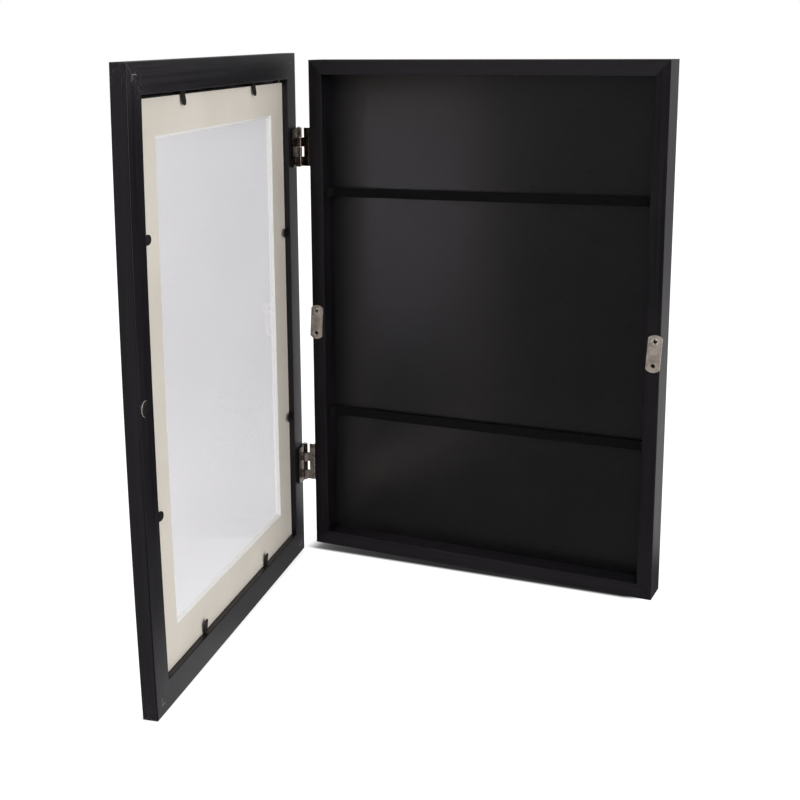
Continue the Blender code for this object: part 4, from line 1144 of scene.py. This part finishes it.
floorLook = {
    "white": 0.90,
    "under": (0.45, 0.14, 0.03),             # painted shadow: how white the floor is under the raised box, from the left end on
    # footprints in millimetres of the box and of the door, turned about the box's right end; the
    # box's also bounds the painted shadow
    "boxShade": {"x": (0, 243), "y": (0.8, 23), "turn": 1.3, "soft": (20, 6)},
    "doorShade": {"x": (doorLeft, doorRight), "y": (doorFront, doorSize["back"]), "turn": 0,
                  "soft": (3.2, 3.2)},
    "share": {"box": 0.02, "door": 0.70},    # how much of the floor under them glows
    "glow": 1.20,
    "gloss": {"front": 0.10, "behind": 0.58, "beyond": 0.30, "lane": 1.0, "left": 0.33,
              "inside": 0.02},               # what shiny faces see of the floor
    "bounce": 0.45,                          # glow that pale faces near the door catch
    "through": 0.10,                         # what the film shows of the floor in front
    "filmGain": 0.13,                        # extra floor light through the film's low end
    "bounced": (0.01, 0.85),                 # seen through it after a reflection, near and far
    "cornerSpot": (-0.17, -0.08, 0),
    "bounceSpot": (0.02, -0.22, 0),
}
floorZones = {                               # where each change on the floor starts and ends
    "underLeft": (-0.13, -0.07),
    "underRight": (-0.07, -0.02),
    "left": (-0.09, -0.03),
    "leftCorner": (0.15, 0.40),
    "leftFade": (-0.13, -0.01),
    "leftFront": (-0.20, -0.12),
    "fromPanel": (-0.1, 0.1),
    "bounce": (0.12, 0.45),
    "lane": (0.02, 0.16),
    "behind": (0.02, 0.12),
    "beyond": (0.5, 1.5),
    "through": (-0.36, -0.24),
    "bounced": (-1.0, -0.55),
    "filmGain": (0.15, 0.75),
}


def shadeGap(spot, frameSpot, look):         # 0 on a footprint, 1 at the end of its soft edge
    pivot = Matrix.Translation((boxSize["width"], 0, 0))
    turn = Matrix.Rotation(math.radians(-look["turn"]), 4, "Z")
    turned = frameSpot @ pivot @ turn @ pivot.inverted()
    centre = turned @ Vector((sum(look["x"]) / 2, sum(look["y"]) / 2, 0))
    local = addNode(spot.tree, "ShaderNodeMapping",
                    {"Vector": spot, "Location": (centre.x, centre.y, 0),
                     "Rotation": (0, 0, turned.to_euler().z)}, vector_type="TEXTURE")
    gaps = []
    for axis, (low, high), soft in zip(local.split(), (look["x"], look["y"]), look["soft"]):
        gap = (axis.maths("ABSOLUTE") - (high - low) / 2 * millimetre) / (soft * millimetre)
        gaps.append(gap.maths("MAXIMUM", 0.0))
    return (gaps[0] * gaps[0] + gaps[1] * gaps[1]) ** 0.5


def makeFloor():                             # it touches the box's right end and the door's corner
    corner = doorSpot @ Vector((doorRight, 0, doorLow - doorWarp["lean"] * doorSize["width"]))
    right = boxSpot @ Vector((boxSize["width"], 0, -0.05))
    lean = math.atan2(right.z - corner.z, right.x - corner.x)
    work = bmesh.new()
    bmesh.ops.create_grid(work, x_segments=1, y_segments=1, size=6)
    work.transform(Matrix.Translation(right) @ Matrix.Rotation(-lean, 4, "Y"))
    mesh = bpy.data.meshes.new("floor")
    work.to_mesh(mesh)
    work.free()
    floor = newObject("floor", mesh)
    material = bpy.data.materials.new("floorWhite")
    material.use_nodes = True
    tree = material.node_tree
    tree.nodes.clear()
    spot = objectSpot(tree)
    x, y, _ = spot.split()

    def zone(value, name, before=0.0, after=1.0):
        return step(value, *floorZones[name], before, after)

    def distance(label):
        return addNode(tree, "ShaderNodeVectorMath", {0: spot, 1: floorLook[label]}, "Value",
                       operation="DISTANCE")

    fromBox = shadeGap(spot, boxSpot, floorLook["boxShade"])
    fromDoor = shadeGap(spot, doorSpot, floorLook["doorShade"])
    far = (step(fromBox, 0.0, 1.0, floorLook["share"]["box"])
           * step(fromDoor, 0.0, 1.0, floorLook["share"]["door"]))
    first, second, third = floorLook["under"]
    # painted shadow: on the box's shade footprint the floor's white drops to these levels, lightest
    # at the left end
    paintedShadow = zone(x, "underLeft", first, second) * zone(x, "underRight", 1.0, third / second)
    white = (paintedShadow + step(fromBox, 0.0, 1.0) * (1 - paintedShadow)) * floorLook["white"]
    gloss = floorLook["gloss"]
    toCorner = distance("cornerSpot")
    incoming = addNode(tree, "ShaderNodeNewGeometry", None, "Incoming").split()[1]
    left = (zone(x, "left", 1.0, 0.0) * zone(toCorner, "leftCorner", 1.0, 0.0)
            * zone(y, "leftFade", 1.0, 0.7) * zone(y, "leftFront", 1.8, 1.0)
            * zone(incoming, "fromPanel", 1.0, gloss["inside"]))
    lane = zone(x, "lane", 1.0, 0.0)
    behind = zone(y, "behind") * ((1 - lane) * zone(y, "beyond", gloss["behind"], gloss["beyond"])
                                  + lane * gloss["lane"])
    mirrored = (left * gloss["left"]).maths("MAXIMUM", behind).maths("MAXIMUM", gloss["front"])
    bounce = (rays(tree, "Is Diffuse Ray") * zone(distance("bounceSpot"), "bounce", 1.0, 0.0)
              * floorLook["bounce"])
    bounced = rays(tree, "Glossy Depth").maths("MINIMUM", 1.0)
    direct = zone(y, "through", floorLook["through"])
    near, beyond = floorLook["bounced"]
    again = zone(y, "bounced", beyond, near)
    through = rays(tree, "Is Transmission Ray") * (direct + bounced * (again - direct))
    strength = floorLook["glow"] + (rays(tree, "Is Transmission Ray")
                                    * zone(toCorner, "filmGain", floorLook["filmGain"], 0.0))
    glossy = rays(tree, "Is Glossy Ray")
    share = (rays(tree, "Is Camera Ray") + through) * far + glossy * mirrored + bounce
    matte = addNode(tree, "ShaderNodeBsdfDiffuse", {"Color": vectorOf(tree, white, white, white)})
    dark = addNode(tree, "ShaderNodeBsdfDiffuse", {"Color": (0, 0, 0, 1)})
    glow = addNode(tree, "ShaderNodeEmission", {"Color": (1, 1, 1, 1), "Strength": strength})
    under = addNode(tree, "ShaderNodeMixShader", {0: glossy, 1: matte, 2: dark})
    both = addNode(tree, "ShaderNodeMixShader", {0: share, 1: under, 2: glow})
    closeShader(both, "ShaderNodeOutputMaterial")
    mesh.materials.append(material)


makeCamera()
makeLights()
makeWorld()
makeFloor()
bpy.context.scene.view_settings.view_transform = "Standard"
print("studio made")

bpy.context.view_layer.update()
